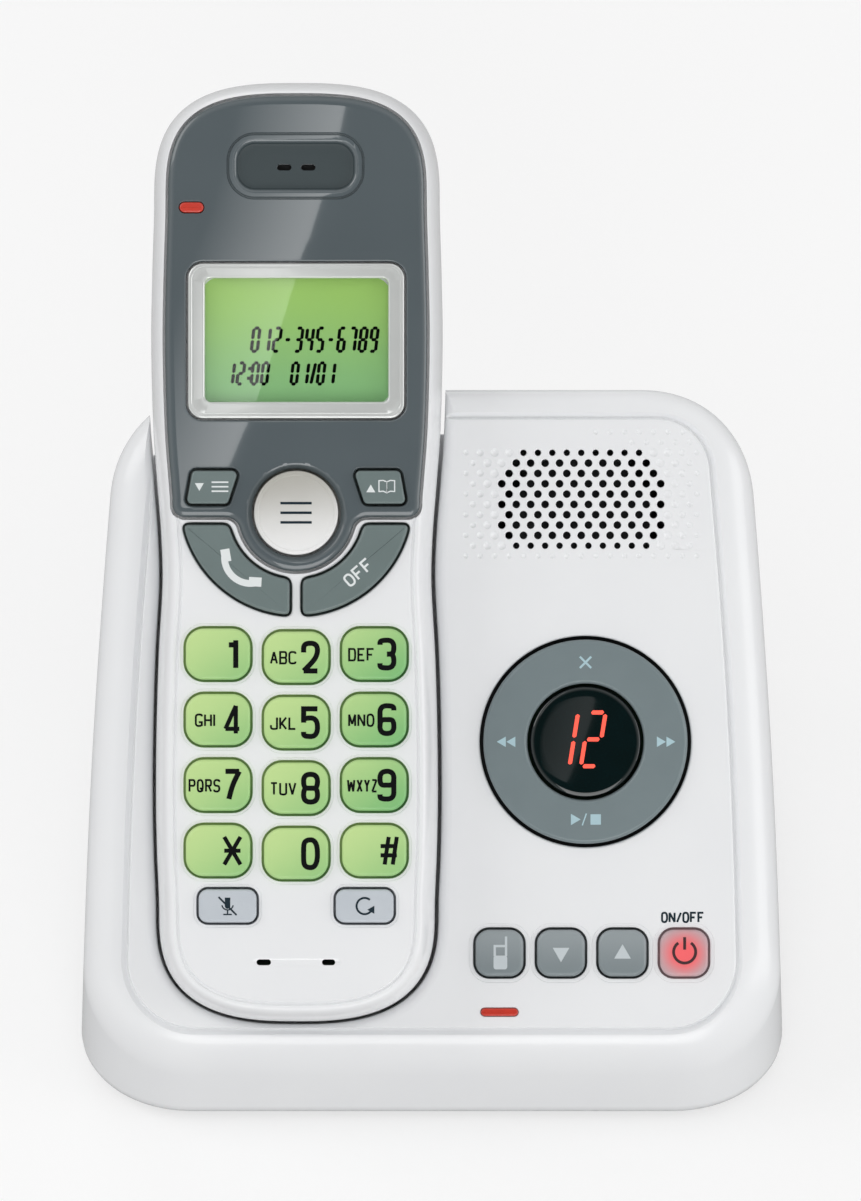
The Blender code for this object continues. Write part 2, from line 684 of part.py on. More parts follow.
def make_front_housing(frame):
    levels = handset_levels()
    shell = loft("handset_front_housing", front_rings(0, HANDSET_THICKNESS, FRONT_INSET_SHARES), frame,
                 "white_shell", across=True)
    hollow_rings = front_rings(HANDSET_WALL, levels["under"], HOLLOW_INSET_SHARES)
    hollow_rings[0] = [point - Vector((0, 0, OVERRUN)) for point in hollow_rings[0]]
    hollow = loft("front_hollow", hollow_rings, frame, None, across=True)
    cut(hollow, bosses("front_posts", POST_PLACES, POST_RADIUS, levels["board_top"] + GAP,
                       HANDSET_THICKNESS, frame),
        bosses("front_bosses", handset_screw_places(), HANDSET_BOSS_RADIUS,
               HANDSET_PARTING + GAP / 2, HANDSET_THICKNESS, frame))
    recess = prisms("face_recess", [grown(face_outline(), KEY_CLEARANCE)],
                    HANDSET_THICKNESS - FACE_RECESS, HANDSET_THICKNESS + OVERRUN, frame)
    window = rectangle((LENS_SIZE[0] - 2 * LENS_LEDGE, LENS_SIZE[1] - 2 * LENS_LEDGE), LENS_CORNER)
    through = key_holes(key_places()) + key_holes(face_key_places())
    through += [moved(window, (0, LENS_V)),
                grown(moved(pill(CHARGE_LIGHT_SIZE), CHARGE_LIGHT_PLACE), KEY_CLEARANCE)]
    through += [moved(pill(EAR_SLOT), (side * EAR_SLOT_X, EAR_V)) for side in (-1, 1)]
    through += [moved(pill(MIC_SLOT), (side * MIC_SLOT_X, MIC_V)) for side in (-1, 1)]
    openings = prisms("front_openings", through, levels["under"] - OVERRUN / 2,
                      HANDSET_THICKNESS + OVERRUN, frame)
    pilots = bosses("front_pilots", handset_screw_places(), HANDSET_SCREW_RADIUS + GAP,
                    HANDSET_PARTING - OVERRUN, screw_top() + GAP, frame)
    cut(shell, hollow, recess, openings, pilots)
    return shell


def screw_top():
    """The height of the end of a handset screw."""
    return HEAD_RELIEF + GAP + HANDSET_SCREW_LENGTH


def make_rear_housing(frame):
    shell = loft("handset_rear_housing", back_rings(0, 0, HANDSET_PARTING - GAP / 2), frame,
                 "white_shell", across=True)
    hollow = loft("rear_hollow", back_rings(HANDSET_WALL, HANDSET_BACK_WALL, HANDSET_PARTING + OVERRUN),
                  frame, None, across=True)
    bay = grown(battery_outline(), BAY_CLEARANCE)
    bay_top = battery_top() + GAP
    tub = prisms("bay_tub", [grown(bay, BAY_WALL)], -OVERRUN, HANDSET_PARTING + 2 * OVERRUN, frame)
    rear_bosses = bosses("rear_bosses", handset_screw_places(), HANDSET_BOSS_RADIUS, 0,
                         HANDSET_PARTING + 2 * OVERRUN, frame)
    cut(hollow, tub, rear_bosses)
    bay_hollow = prisms("bay_hollow", [bay], -OVERRUN, bay_top, frame)
    door_room = moved(rectangle((DOOR_SIZE[0] + 2 * GAP, 2 * DOOR_SIZE[1]), DOOR_CORNER),
                      (0, DOOR_START_V - GAP + DOOR_SIZE[1]))
    door_recess = prisms("door_recess", [door_room], -OVERRUN, DOOR_THICKNESS + GAP, frame)
    contact_windows = prisms(
        "contact_windows",
        [grown(moved(rectangle(HANDSET_CONTACT_SIZE, CONTACT_CORNER), place), GAP)
         for place in contact_places()], -OVERRUN, HANDSET_BACK_WALL + OVERRUN, frame)
    heads = bosses("screw_head_wells", handset_screw_places(), HANDSET_SCREW_HEAD[0] + GAP, 0,
                   HEAD_RELIEF + HANDSET_SCREW_HEAD[1] + GAP, frame)
    shanks = bosses("screw_ways", handset_screw_places(), HANDSET_SCREW_RADIUS + GAP, OVERRUN,
                    HANDSET_PARTING + OVERRUN, frame)
    cut(shell, hollow, bay_hollow, door_recess, contact_windows, heads, shanks)
    return shell


def battery_outline():
    centre = (0, BATTERY_START_V + BATTERY_SIZE[1] / 2)
    return moved(rectangle(BATTERY_SIZE[:2], DOOR_CORNER), centre)


def battery_top():
    return DOOR_THICKNESS + 2 * GAP + BATTERY_SIZE[2]


def make_battery(frame):
    low = DOOR_THICKNESS + 2 * GAP
    stack("battery_pack", battery_outline(), ((-KEY_EDGE, low), (0, low + KEY_EDGE),
                                              (0, battery_top() - KEY_EDGE), (-KEY_EDGE, battery_top())),
          frame, "battery_wrap")
    stack("battery_door", rectangle(DOOR_SIZE, DOOR_CORNER),
          ((-KEY_EDGE, 0), (0, KEY_EDGE), (0, DOOR_THICKNESS)), frame, "white_shell",
          (0, DOOR_START_V + DOOR_SIZE[1] / 2, 0))


def make_faceplate(frame):
    levels = handset_levels()
    plate = stack("earpiece_faceplate", face_outline(),
                  ((0, levels["face_low"]), (0, levels["face_top"] - KEY_EDGE),
                   (-KEY_EDGE, levels["face_top"])), frame, "grey_gloss")
    lens = moved(rectangle(LENS_SIZE, LENS_CORNER), (0, LENS_V))
    through = key_holes(face_key_places())
    through += [grown(lens, GAP),
                grown(moved(pill(CHARGE_LIGHT_SIZE), CHARGE_LIGHT_PLACE), KEY_CLEARANCE)]
    through += [moved(pill(EAR_SLOT), (side * EAR_SLOT_X, EAR_V)) for side in (-1, 1)]
    cut(plate, prisms("face_openings", through, levels["face_low"] - OVERRUN,
                      levels["face_top"] + OVERRUN, frame))
    stack("display_lens", lens, ((0, levels["face_low"]),
                                 (0, levels["face_low"] + LENS_THICKNESS - KEY_EDGE),
                                 (-KEY_EDGE, levels["face_low"] + LENS_THICKNESS)), frame, "clear_lens")
    stack("lcd_module", moved(rectangle(LCD_SIZE, CONTACT_CORNER), (0, LENS_V)),
          ((0, levels["board_top"] + GAP), (0, levels["under"] - GAP)), frame, "green_display")
    light = moved(pill(CHARGE_LIGHT_SIZE), CHARGE_LIGHT_PLACE)
    stack("charge_light", light, key_profile(levels, levels["face_top"] + GAP), frame, "red_light")


def make_handset_keys(frame):
    levels = handset_levels()
    for name, outline, place, look in key_places():
        stack(name, outline, key_profile(levels, HANDSET_THICKNESS + KEY_RISE), frame, look, (*place, 0))
    for name, outline, place, look in face_key_places():
        stack(name, outline, key_profile(levels, levels["face_top"] + KEY_RISE), frame, look, (*place, 0))


def make_handset_inside(frame):
    levels = handset_levels()
    mat_size = (MAT_WIDTH, MAT_END_V - MAT_START_V)
    mat = stack("handset_key_mat", moved(rectangle(mat_size, DIAL_KEY_CORNER),
                                         (0, (MAT_START_V + MAT_END_V) / 2)),
                ((0, levels["mat_low"]), (0, levels["mat_top"])), frame, "grey_rubber")
    cut(mat, bosses("mat_holes", POST_PLACES[:1], POST_RADIUS + GAP, levels["board_top"],
                    levels["under"], frame))
    board_size = (BOARD_WIDTH, BOARD_END_V - BOARD_START_V)
    stack("handset_circuit_board", moved(rectangle(board_size, BOARD_CORNER),
                                         (0, (BOARD_START_V + BOARD_END_V) / 2)),
          ((0, levels["board_low"]), (0, levels["board_top"])), frame, "board_green")
    receiver_low = levels["flange_top"] - RECEIVER_THICKNESS
    turned("earpiece_receiver", ((0, levels["flange_top"]), (RECEIVER_RADIUS, levels["flange_top"]),
                                 (RECEIVER_RADIUS, receiver_low), (0, receiver_low)),
           frame, "black_plastic", (0, EAR_V, 0))
    mic_top, mic_low = levels["flange_top"], levels["board_top"] + GAP
    turned("microphone", ((0, mic_top - GAP), (MIC_PORT_RADIUS, mic_top - GAP),
                          (MIC_PORT_RADIUS, mic_top), (MIC_RADIUS, mic_top), (MIC_RADIUS, mic_low),
                          (0, mic_low)), frame, "black_plastic", (0, MIC_V, 0))
    for side, x, v in zip(("left", "right"), *zip(*contact_places())):
        inner = HANDSET_BACK_WALL + GAP
        stack(f"handset_charge_contact_{side}", rectangle(HANDSET_CONTACT_SIZE, CONTACT_CORNER),
              ((0, HANDSET_CONTACT_RECESS), (0, inner), (CONTACT_FLANGE, inner),
               (CONTACT_FLANGE, inner + CONTACT_FLANGE)), frame, "gold_contact", (x, v, 0))
    for side, (x, v) in zip(("left", "right"), handset_screw_places()):
        head_top = HEAD_RELIEF + HANDSET_SCREW_HEAD[1]
        turned(f"handset_screw_{side}",
               ((0, screw_top()), (HANDSET_SCREW_RADIUS, screw_top()), (HANDSET_SCREW_RADIUS, head_top),
                (HANDSET_SCREW_HEAD[0], head_top), (HANDSET_SCREW_HEAD[0], HEAD_RELIEF + GAP),
                (0, HEAD_RELIEF + GAP)), frame, "steel", (x, v, 0))


# Base


def on_slope(point, height):
    """A place on the slope, or above it, in the level base's frame."""
    return Vector((point.x, point.y * math.cos(SLOPE) - height * math.sin(SLOPE),
                   BASE_LIP + point.y * math.sin(SLOPE) + height * math.cos(SLOPE)))


def base_rings(wall, foot):
    """Rings of the wedge, drawn in by a wall: its top edge on the slope, and its walls' foot."""
    outline = base_outline()
    rings = []
    for step in range(BASE_EDGE_STEPS + 1):
        turn = math.pi / 2 * step / BASE_EDGE_STEPS
        ring = grown(outline, -wall - BASE_EDGE[0] * (1 - math.sin(turn)))
        rings.append([on_slope(point, -wall - BASE_EDGE[1] * (1 - math.cos(turn))) for point in ring])
    skirt = grown(ground_outline(), -wall)
    rings += [[Vector((*point, height)) for point in skirt] for height in (cover_top() + GAP, foot)]
    return rings


def pocket_outline():
    return grown(handset_outline(), POCKET_CLEARANCE)


def cover_top():
    return FOOT_HEIGHT + COVER_THICKNESS


def base_screw_places():
    return [(HANDSET_X, v * math.cos(SLOPE)) for v in BASE_SCREW_V]


def base_button_places():
    return [(BASE_BUTTON_X + i * BASE_BUTTON_PITCH, BASE_BUTTON_V) for i in range(len(BASE_BUTTONS))]


def grille_holes():
    """Holes in rows, each row centred over the speaker and half a pitch off its neighbours."""
    holes = []
    for row, count in enumerate(GRILLE_ROWS):
        v = GRILLE_TOP_V - row * GRILLE_PITCH[1]
        start = SPEAKER_X - (count - 1) / 2 * GRILLE_PITCH[0]
        holes += [moved(circle(GRILLE_HOLE_RADIUS, GRILLE_SIDES), (start + k * GRILLE_PITCH[0], v))
                  for k in range(count)]
    return holes


def jack_back():
    """Where the face of a jack stands, just inside the back wall."""
    return BASE_LENGTH * math.cos(SLOPE) + BASE_DRAFT - BASE_WALL - GAP


def socket_window(name):
    """Low and high corners of a jack's socket."""
    width, depth, height = JACK_SOCKETS[name]
    middle = cover_top() + GAP + JACK_SIZE[2] / 2
    return (Vector((JACK_X[name] - width / 2, jack_back() - depth, middle - height / 2)),
            Vector((JACK_X[name] + width / 2, jack_back() + GAP, middle + height / 2)))


def make_upper_housing(base, slope, handset):
    levels = slope_levels()
    shell = loft("base_upper_housing", base_rings(0, FOOT_HEIGHT), base, "white_shell")
    hollow = loft("base_hollow", base_rings(BASE_WALL, FOOT_HEIGHT - OVERRUN), base, None)
    tub = prisms("pocket_tub", [grown(pocket_outline(), BASE_WALL)], -SEAT_GAP - BASE_WALL,
                 HANDSET_THICKNESS, handset)
    columns = bosses("base_bosses", base_screw_places(), BASE_BOSS_RADIUS, cover_top() + GAP,
                     BASE_LIP + BASE_LENGTH * math.sin(SLOPE), base)
    posts = bosses("board_posts", BASE_POST_PLACES, POST_RADIUS, levels["board_top"] + GAP,
                   BASE_WALL, slope)
    cut(hollow, tub, columns, posts)
    pocket = prisms("pocket", [pocket_outline()], -SEAT_GAP, HANDSET_THICKNESS, handset)
    buttons = [grown(moved(rectangle(BASE_BUTTON_SIZE, BASE_BUTTON_CORNER), place), KEY_CLEARANCE)
               for place in base_button_places()]
    ring = moved(circle(RING_OUTER_RADIUS + RING_CLEARANCE, RING_SIDES), (RING_X, RING_V))
    light = grown(moved(pill(IN_USE_SIZE), (BASE_BUTTON_X, IN_USE_V)), KEY_CLEARANCE)
    panel_holes = prisms("panel_holes", buttons + [ring, light], -BASE_WALL - OVERRUN / 2, OVERRUN, slope)
    grille = prisms("grille_holes", grille_holes(), -BASE_WALL - OVERRUN / 2, OVERRUN, slope)
    contact_slots = prisms(
        "contact_slots", [grown(moved(rectangle(CRADLE_CONTACT_SIZE, CONTACT_CORNER), place),
                                KEY_CLEARANCE) for place in contact_places()],
        -SEAT_GAP - BASE_WALL - OVERRUN, OVERRUN, handset)
    pilots = bosses("base_pilots", base_screw_places(), BASE_SCREW_RADIUS + GAP, FOOT_HEIGHT,
                    base_screw_top() + GAP, base)
    cut(shell, hollow, pocket, panel_holes, grille, contact_slots, pilots)
    for name in JACK_SOCKETS:
        low, high = socket_window(name)
        through = Vector((0, BASE_WALL + OVERRUN, 0))
        cut(shell, box(f"{name}_window", low, high + through, base, None))
    return shell


def base_screw_top():
    return FOOT_HEIGHT - GAP + BASE_SCREW_LENGTH


def make_bottom_cover(base):
    outline = grown(ground_outline(), -BASE_WALL - GAP)
    cover = stack("base_bottom_cover", outline, ((0, FOOT_HEIGHT), (0, cover_top())), base, "white_shell")
    low, high = FOOT_HEIGHT - OVERRUN, cover_top() + OVERRUN
    cut(cover, bosses("cover_screw_holes", base_screw_places(), BASE_SCREW_RADIUS + GAP, low, high, base))
    for y in KEYHOLE_Y:
        cut(cover, prisms("keyhole", [moved(keyhole_outline(), (KEYHOLE_X, y))], low, high, base))
    return cover


def keyhole_outline():
    """A round mouth that a screw's head goes through, and a neck toward the back that holds it."""
    half = KEYHOLE_SLOT[0] / 2
    side = math.acos(half / KEYHOLE_RADIUS)
    mouth = arc((0, 0), KEYHOLE_RADIUS, math.pi - side, math.tau + side, ROUND_SIDES)
    return mouth + [Vector((half, KEYHOLE_SLOT[1])), Vector((-half, KEYHOLE_SLOT[1]))]


def make_feet(base):
    ground = ground_outline()
    front_y, back_y = min(p.y for p in ground), max(p.y for p in ground)
    for end, y, width in (("front", front_y + FOOT_INSET, BASE_FRONT_WIDTH),
                          ("back", back_y - FOOT_INSET, BASE_BACK_WIDTH)):
        for side, x in (("left", FOOT_INSET - width / 2), ("right", width / 2 - FOOT_INSET)):
            turned(f"rubber_foot_{end}_{side}",
                   ((0, FOOT_HEIGHT - GAP), (FOOT_RADIUS, FOOT_HEIGHT - GAP), (FOOT_RADIUS, KEY_EDGE),
                    (FOOT_RADIUS - KEY_EDGE, 0), (0, 0)), base, "grey_rubber", (x, y, 0))


def make_base_screws(base):
    for end, (x, y) in zip(("front", "back"), base_screw_places()):
        head_top = FOOT_HEIGHT - GAP
        turned(f"base_screw_{end}",
               ((0, base_screw_top()), (BASE_SCREW_RADIUS, base_screw_top()),
                (BASE_SCREW_RADIUS, head_top), (BASE_SCREW_HEAD[0], head_top),
                (BASE_SCREW_HEAD[0], head_top - BASE_SCREW_HEAD[1]), (0, head_top - BASE_SCREW_HEAD[1])),
               base, "steel", (x, y, 0))


def make_jacks(base):
    for name in JACK_SOCKETS:
        low = Vector((JACK_X[name] - JACK_SIZE[0] / 2, jack_back() - JACK_SIZE[1], cover_top() + GAP))
        jack = box(name, low, low + Vector(JACK_SIZE), base, "black_plastic")
        socket_low, socket_high = socket_window(name)
        cut(jack, box(f"{name}_socket", socket_low, socket_high + Vector((0, OVERRUN, 0)), base, None))


def make_ring(slope):
    """The rocker ring, the carrier that tilts under it, and the display in its middle."""
    levels = slope_levels()
    pivot = new_empty("ring_pivot", slope, (RING_X, RING_V, 0))
    opening = circle(RING_INNER_RADIUS, RING_SIDES)
    width = RING_OUTER_RADIUS - RING_INNER_RADIUS
    stack("ring_button", opening,
          ((0, -RING_DEPTH), (width, -RING_DEPTH), (width, 0), (width - KEY_EDGE, RING_RISE - KEY_EDGE),
           (width / 2, RING_RISE), (KEY_EDGE, RING_RISE - KEY_EDGE), (0, 0)),
          pivot, "grey_key", closed=True)
    carrier_top = -RING_DEPTH - RING_SWING
    carrier_low = carrier_top - CARRIER_THICKNESS
    reach = width + RING_CLEARANCE + CARRIER_LAP
    stack("ring_carrier", opening, ((0, carrier_low), (reach, carrier_low), (reach, carrier_top),
                                    (0, carrier_top)), pivot, "black_plastic", closed=True)
    window_low = WINDOW_RISE - WINDOW_THICKNESS
    turned("message_display_window",
           ((0, WINDOW_RISE), (WINDOW_RADIUS - KEY_EDGE, WINDOW_RISE),
            (WINDOW_RADIUS, WINDOW_RISE - KEY_EDGE), (WINDOW_RADIUS, window_low), (0, window_low)),
           slope, "black_glass", (RING_X, RING_V, 0), RING_SIDES)
    module_top, module_low = window_low - GAP, levels["board_top"] + GAP
    turned("message_display_module",
           ((0, module_top), (MODULE_RADIUS, module_top), (MODULE_RADIUS, module_low), (0, module_low)),
           slope, "black_plastic", (RING_X, RING_V, 0))


def make_base_buttons(slope):
    levels = slope_levels()
    outline = rectangle(BASE_BUTTON_SIZE, BASE_BUTTON_CORNER)
    for name, place in zip(BASE_BUTTONS, base_button_places()):
        look = "red_key" if name == "answer_on_off_button" else "grey_key"
        stack(name, outline, key_profile(levels, KEY_RISE), slope, look, (*place, 0))
    stack("in_use_light", pill(IN_USE_SIZE), ((0, levels["board_top"] + GAP), (0, GAP)), slope,
          "red_light", (BASE_BUTTON_X, IN_USE_V, 0))
    places = base_button_places()
    centre = (Vector(places[0]) + Vector(places[-1])) / 2
    mat_size = (places[-1][0] - places[0][0] + BASE_BUTTON_SIZE[0] + 2 * BASE_MAT_MARGIN,
                BASE_BUTTON_SIZE[1] + 2 * BASE_MAT_MARGIN)
    stack("base_button_mat", moved(rectangle(mat_size, BASE_BUTTON_CORNER), centre),
          ((0, levels["mat_low"]), (0, levels["mat_top"])), slope, "grey_rubber")


def make_base_inside(slope):
    levels = slope_levels()
    board_size = (BASE_BOARD_X[1] - BASE_BOARD_X[0], BASE_BOARD_V[1] - BASE_BOARD_V[0])
    board_centre = (sum(BASE_BOARD_X) / 2, sum(BASE_BOARD_V) / 2)
    stack("base_circuit_board", moved(rectangle(board_size, BASE_BOARD_CORNER), board_centre),
          ((0, levels["board_low"]), (0, levels["board_top"])), slope, "board_green")
    top = levels["flange_top"]
    turned("base_speaker",
           ((0, top), (SPEAKER_RADIUS, top), (SPEAKER_RADIUS, top - SPEAKER_RIM),
            (MAGNET_RADIUS, top - SPEAKER_DEPTH / 2), (MAGNET_RADIUS, top - SPEAKER_DEPTH),
            (0, top - SPEAKER_DEPTH)), slope, "black_plastic", (SPEAKER_X, SPEAKER_V, 0))


def make_cradle_contacts(handset):
    """Sprung contacts that stand through the pocket's floor, just short of the handset's contacts."""
    flange_top = -SEAT_GAP - BASE_WALL - GAP
    for side, (x, v) in zip(("left", "right"), contact_places()):
        stack(f"cradle_contact_{side}", rectangle(CRADLE_CONTACT_SIZE, CONTACT_CORNER),
              ((CONTACT_FLANGE, flange_top - CONTACT_FLANGE), (CONTACT_FLANGE, flange_top),
               (0, flange_top), (0, HANDSET_CONTACT_RECESS - GAP)), handset, "gold_contact", (x, v, 0))


def centre_front_to_back(base, shells):
    """Slide the base so that the shells reach as far in front of the origin as behind it."""
    bpy.context.view_layer.update()
    graph = bpy.context.evaluated_depsgraph_get()
    reach = [(shell.matrix_world @ vertex.co).y for shell in shells
             for vertex in shell.evaluated_get(graph).data.vertices]
    base.location.y = -(min(reach) + max(reach)) / 2


clear_scene()
PARTS = new_collection("cordless_telephone")
CUTTERS = new_collection("cutters")

base_frame = new_empty("base")
slope_frame = new_empty("slope", base_frame, (0, 0, BASE_LIP), SLOPE)
handset_frame = new_empty("handset", slope_frame, (HANDSET_X, HANDSET_V, SEAT_GAP - POCKET_DEPTH))

front_housing = make_front_housing(handset_frame)
rear_housing = make_rear_housing(handset_frame)
make_faceplate(handset_frame)
make_handset_keys(handset_frame)
make_handset_inside(handset_frame)
make_battery(handset_frame)

upper_housing = make_upper_housing(base_frame, slope_frame, handset_frame)
make_bottom_cover(base_frame)
make_feet(base_frame)
make_base_screws(base_frame)
make_jacks(base_frame)
make_ring(slope_frame)
make_base_buttons(slope_frame)
make_base_inside(slope_frame)
make_cradle_contacts(handset_frame)

centre_front_to_back(base_frame, (front_housing, rear_housing, upper_housing))
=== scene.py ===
# %% [markdown]
# # A cordless telephone in its sloped answering base
#
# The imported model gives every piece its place, and this file gives each one its surface. Shapes are worked
# out in millimetres, in the axes of the part that carries them, and only the last step turns them into
# metres in the model's frame. Most shapes here are a list of rings: an outline, repeated up a profile.

# %% Load the model
import json
import math
from collections import namedtuple

import bmesh
import bpy
import numpy as np
from mathutils import Matrix, Vector


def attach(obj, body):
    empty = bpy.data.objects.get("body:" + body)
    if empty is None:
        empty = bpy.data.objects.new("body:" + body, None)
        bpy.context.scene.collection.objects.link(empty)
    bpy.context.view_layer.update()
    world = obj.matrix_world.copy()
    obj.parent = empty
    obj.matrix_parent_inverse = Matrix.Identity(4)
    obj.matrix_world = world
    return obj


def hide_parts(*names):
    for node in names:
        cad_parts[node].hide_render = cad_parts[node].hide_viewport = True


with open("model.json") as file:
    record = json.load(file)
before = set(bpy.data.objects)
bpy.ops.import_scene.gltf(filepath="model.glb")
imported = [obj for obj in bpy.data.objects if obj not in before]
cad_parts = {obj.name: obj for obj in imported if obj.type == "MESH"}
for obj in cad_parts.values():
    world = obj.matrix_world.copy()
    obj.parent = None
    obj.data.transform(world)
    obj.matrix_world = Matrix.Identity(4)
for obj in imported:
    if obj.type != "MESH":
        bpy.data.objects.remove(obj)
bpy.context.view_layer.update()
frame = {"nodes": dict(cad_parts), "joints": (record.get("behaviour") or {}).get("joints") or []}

MM = 0.001

# %% [markdown]
# ## Places
#
# The phone has three sets of axes. The base stands level. The panel lies on the slope, with its own "up"
# square to it. The handset lies in the cradle along the same slope, a little deeper. All three can be read
# from the model: the handset lifts along the slope's up, and known pieces mark where zero lies.

# %% Read the axes from the model
Place = namedtuple("Place", "origin axes")

RING_X, RING_V = 25.7, 52.1  # the ring's centre on the slope, from the base's centre line and front edge


def node_points(name):
    return np.array([v.co for v in frame["nodes"][name].data.vertices])


def reach(name, axis):
    """How low and how high a node reaches along an axis, in metres."""
    along = node_points(name) @ axis
    return along.min(), along.max()


lift = next(j for j in frame["joints"] if j["name"] == "handset_lift")
UP = np.array(lift["axis"], float)
UP /= np.linalg.norm(UP)
RIGHT = np.array([1.0, 0.0, 0.0])
ALONG = np.cross(UP, RIGHT)
SLOPE_AXES = np.array([RIGHT, ALONG, UP])

ring_middle = sum(reach("message_display_window", ALONG)) / 2
slope_corner = (ring_middle - RING_V * MM, reach("base_upper_housing", UP)[1])
SLOPE = Place((slope_corner[0] * ALONG + slope_corner[1] * UP) / MM, SLOPE_AXES)
BASE = Place(np.array([0.0, SLOPE.origin[1], 0.0]), np.eye(3))
tail = (sum(reach("handset_front_housing", RIGHT)) / 2, reach("handset_front_housing", ALONG)[0],
        reach("battery_door", UP)[0])
HANDSET = Place(tail @ SLOPE_AXES / MM, SLOPE_AXES)
LIP = SLOPE.origin[2]
TILT = math.atan2(ALONG[2], ALONG[1])
print("slope", SLOPE.origin.round(2), "handset", HANDSET.origin.round(2), "lip", round(LIP, 2), "mm")

# %% [markdown]
# ## Outlines
#
# An outline is an array of 2D points, counterclockwise. It can be moved, mirrored, grown sideways, spread
# to equal steps or softened at its corners. All of it is array arithmetic, so an outline of hundreds of
# points costs no more code than a square.

# %% Outline helpers
def closed_run(outline):
    loop = np.vstack([outline, outline[:1]])
    return loop, np.concatenate([[0], np.cumsum(np.linalg.norm(np.diff(loop, axis=0), axis=1))])


def even(outline, count):
    """The same closed line with its points at equal steps of its running length."""
    loop, run = closed_run(outline)
    at = np.linspace(0, run[-1], count, endpoint=False)
    return np.column_stack([np.interp(at, run, loop[:, i]) for i in range(loop.shape[1])])


def softened(outline, width, count):
    """Corners rounded off: each point is the mean of the line over a stretch of a given width, twice."""
    outline = even(outline, count)
    half = max(1, round(width / closed_run(outline)[1][-1] * count / 2))
    for _ in range(2):
        outline = sum(np.roll(outline, k, axis=0) for k in range(-half, half + 1)) / (2 * half + 1)
    return outline


def grown(outline, distance):
    """Every side moved out by a distance: a point moves along the mean normal of its two sides."""
    before = outline - np.roll(outline, 1, axis=0)
    after = np.roll(outline, -1, axis=0) - outline
    before /= np.linalg.norm(before, axis=1, keepdims=True)
    after /= np.linalg.norm(after, axis=1, keepdims=True)
    out = np.column_stack([before[:, 1] + after[:, 1], -before[:, 0] - after[:, 0]])
    return outline + out * (2 * distance / (out ** 2).sum(axis=1, keepdims=True))


def mirrored(outline):
    return outline[::-1] * (-1, 1)


def arc(centre, radius, start, end, steps):
    """Points at centre + radius * (cos, sin) of equally spaced turns in degrees."""
    turns = np.radians(np.linspace(start, end, steps + 1))
    return np.array(centre) + radius * np.column_stack([np.cos(turns), np.sin(turns)])


def circle(radius, sides=48, centre=(0, 0)):
    return arc(centre, radius, 0, 360, sides)[:-1]


def rounded(corners, radii, steps=8):
    """A polygon whose corners are arcs: each arc's centre lies on the corner's bisector."""
    corners = np.array(corners, float)
    radii = np.broadcast_to(radii, len(corners))
    points = []
    for i, corner in enumerate(corners):
        back, ahead = corners[i - 1] - corner, corners[(i + 1) % len(corners)] - corner
        back, ahead = back / np.linalg.norm(back), ahead / np.linalg.norm(ahead)
        half = math.acos(np.clip(back @ ahead, -1, 1)) / 2
        middle = (back + ahead) / np.linalg.norm(back + ahead)
        centre = corner + middle * radii[i] / math.sin(half)
        spoke = corner + back * radii[i] / math.tan(half) - centre
        start = math.degrees(math.atan2(spoke[1], spoke[0]))
        points.append(arc(centre, radii[i], start, start + 180 - math.degrees(2 * half), steps))
    return np.vstack(points)


def rectangle(size, corner, centre=(0, 0), steps=8):
    x, y = size[0] / 2, size[1] / 2
    return rounded([(-x, -y), (x, -y), (x, y), (-x, y)], corner, steps) + centre


def pill(size, centre=(0, 0)):
    return rectangle(size, size[1] / 2 * 0.999, centre)


def smooth_through(at, xs, ys):
    """A cubic through knots that leaves its first and last knot level: Hermite pieces whose inner slopes
    are those of the line between a knot's two neighbours."""
    xs, ys = np.array(xs), np.array(ys)
    slopes = np.zeros(len(xs))
    slopes[1:-1] = (ys[2:] - ys[:-2]) / (xs[2:] - xs[:-2])
    i = np.clip(np.searchsorted(xs, at) - 1, 0, len(xs) - 2)
    step = xs[i + 1] - xs[i]
    t = (at - xs[i]) / step
    return ((2 * t ** 3 - 3 * t ** 2 + 1) * ys[i] + (t ** 3 - 2 * t ** 2 + t) * step * slopes[i]
            + (3 * t ** 2 - 2 * t ** 3) * ys[i + 1] + (t ** 3 - t ** 2) * step * slopes[i + 1])


def smoothstep(low, high, value):
    """0 below low, 1 above high, and 3t^2 - 2t^3 between."""
    t = np.clip((value - low) / (high - low), 0, 1)
    return t * t * (3 - 2 * t)


# %% [markdown]
# ## Skins
#
# A skin joins rings of equally many points with four-sided faces. Its ends are closed by one flat face or
# by a fan to a pole. Holes are cut with solids of the same kind and Blender's Boolean. Its Manifold solver
# is quick and always gives a closed skin back, as long as piece and cutter are closed themselves. The cutters
# flare where they leave the surface, so every hole gets the soft lip that a moulded hole has.

# %% Skin helpers
def at_heights(outline, profile):
    """Rings of an outline: each step of the profile is how far it is grown, and its height."""
    rings = [np.column_stack([grown(outline, grow), np.full(len(outline), height)])
             for grow, height in profile]
    return np.array(rings)


def skin(rings, start="flat", end="flat", closed=False):
    """Points and faces over rings: point j of ring i meets point j + 1 and the same two of ring i + 1."""
    rings = np.asarray(rings, float)
    rows, count = rings.shape[:2]
    index = np.arange(rows * count).reshape(rows, count)
    ahead = np.roll(index, -1, axis=1)
    low, high = (slice(None), np.roll(np.arange(rows), -1)) if closed else (slice(0, -1), slice(1, None))
    quads = np.stack([index[low], ahead[low], ahead[high], index[high]], axis=-1).reshape(-1, 4)
    points, faces = rings.reshape(-1, 3), quads.tolist()
    for kind, ring in () if closed else ((start, index[0][::-1]), (end, index[-1])):
        if kind == "flat":
            faces.append(ring.tolist())
        if kind == "pole":
            points = np.vstack([points, points[ring].mean(axis=0)])
            fan = np.column_stack([ring, np.roll(ring, -1), np.full(count, len(points) - 1)])
            faces += fan.tolist()
    return points, faces


def prism(outline, low, high):
    return skin(at_heights(outline, ((0, low), (0, high))))


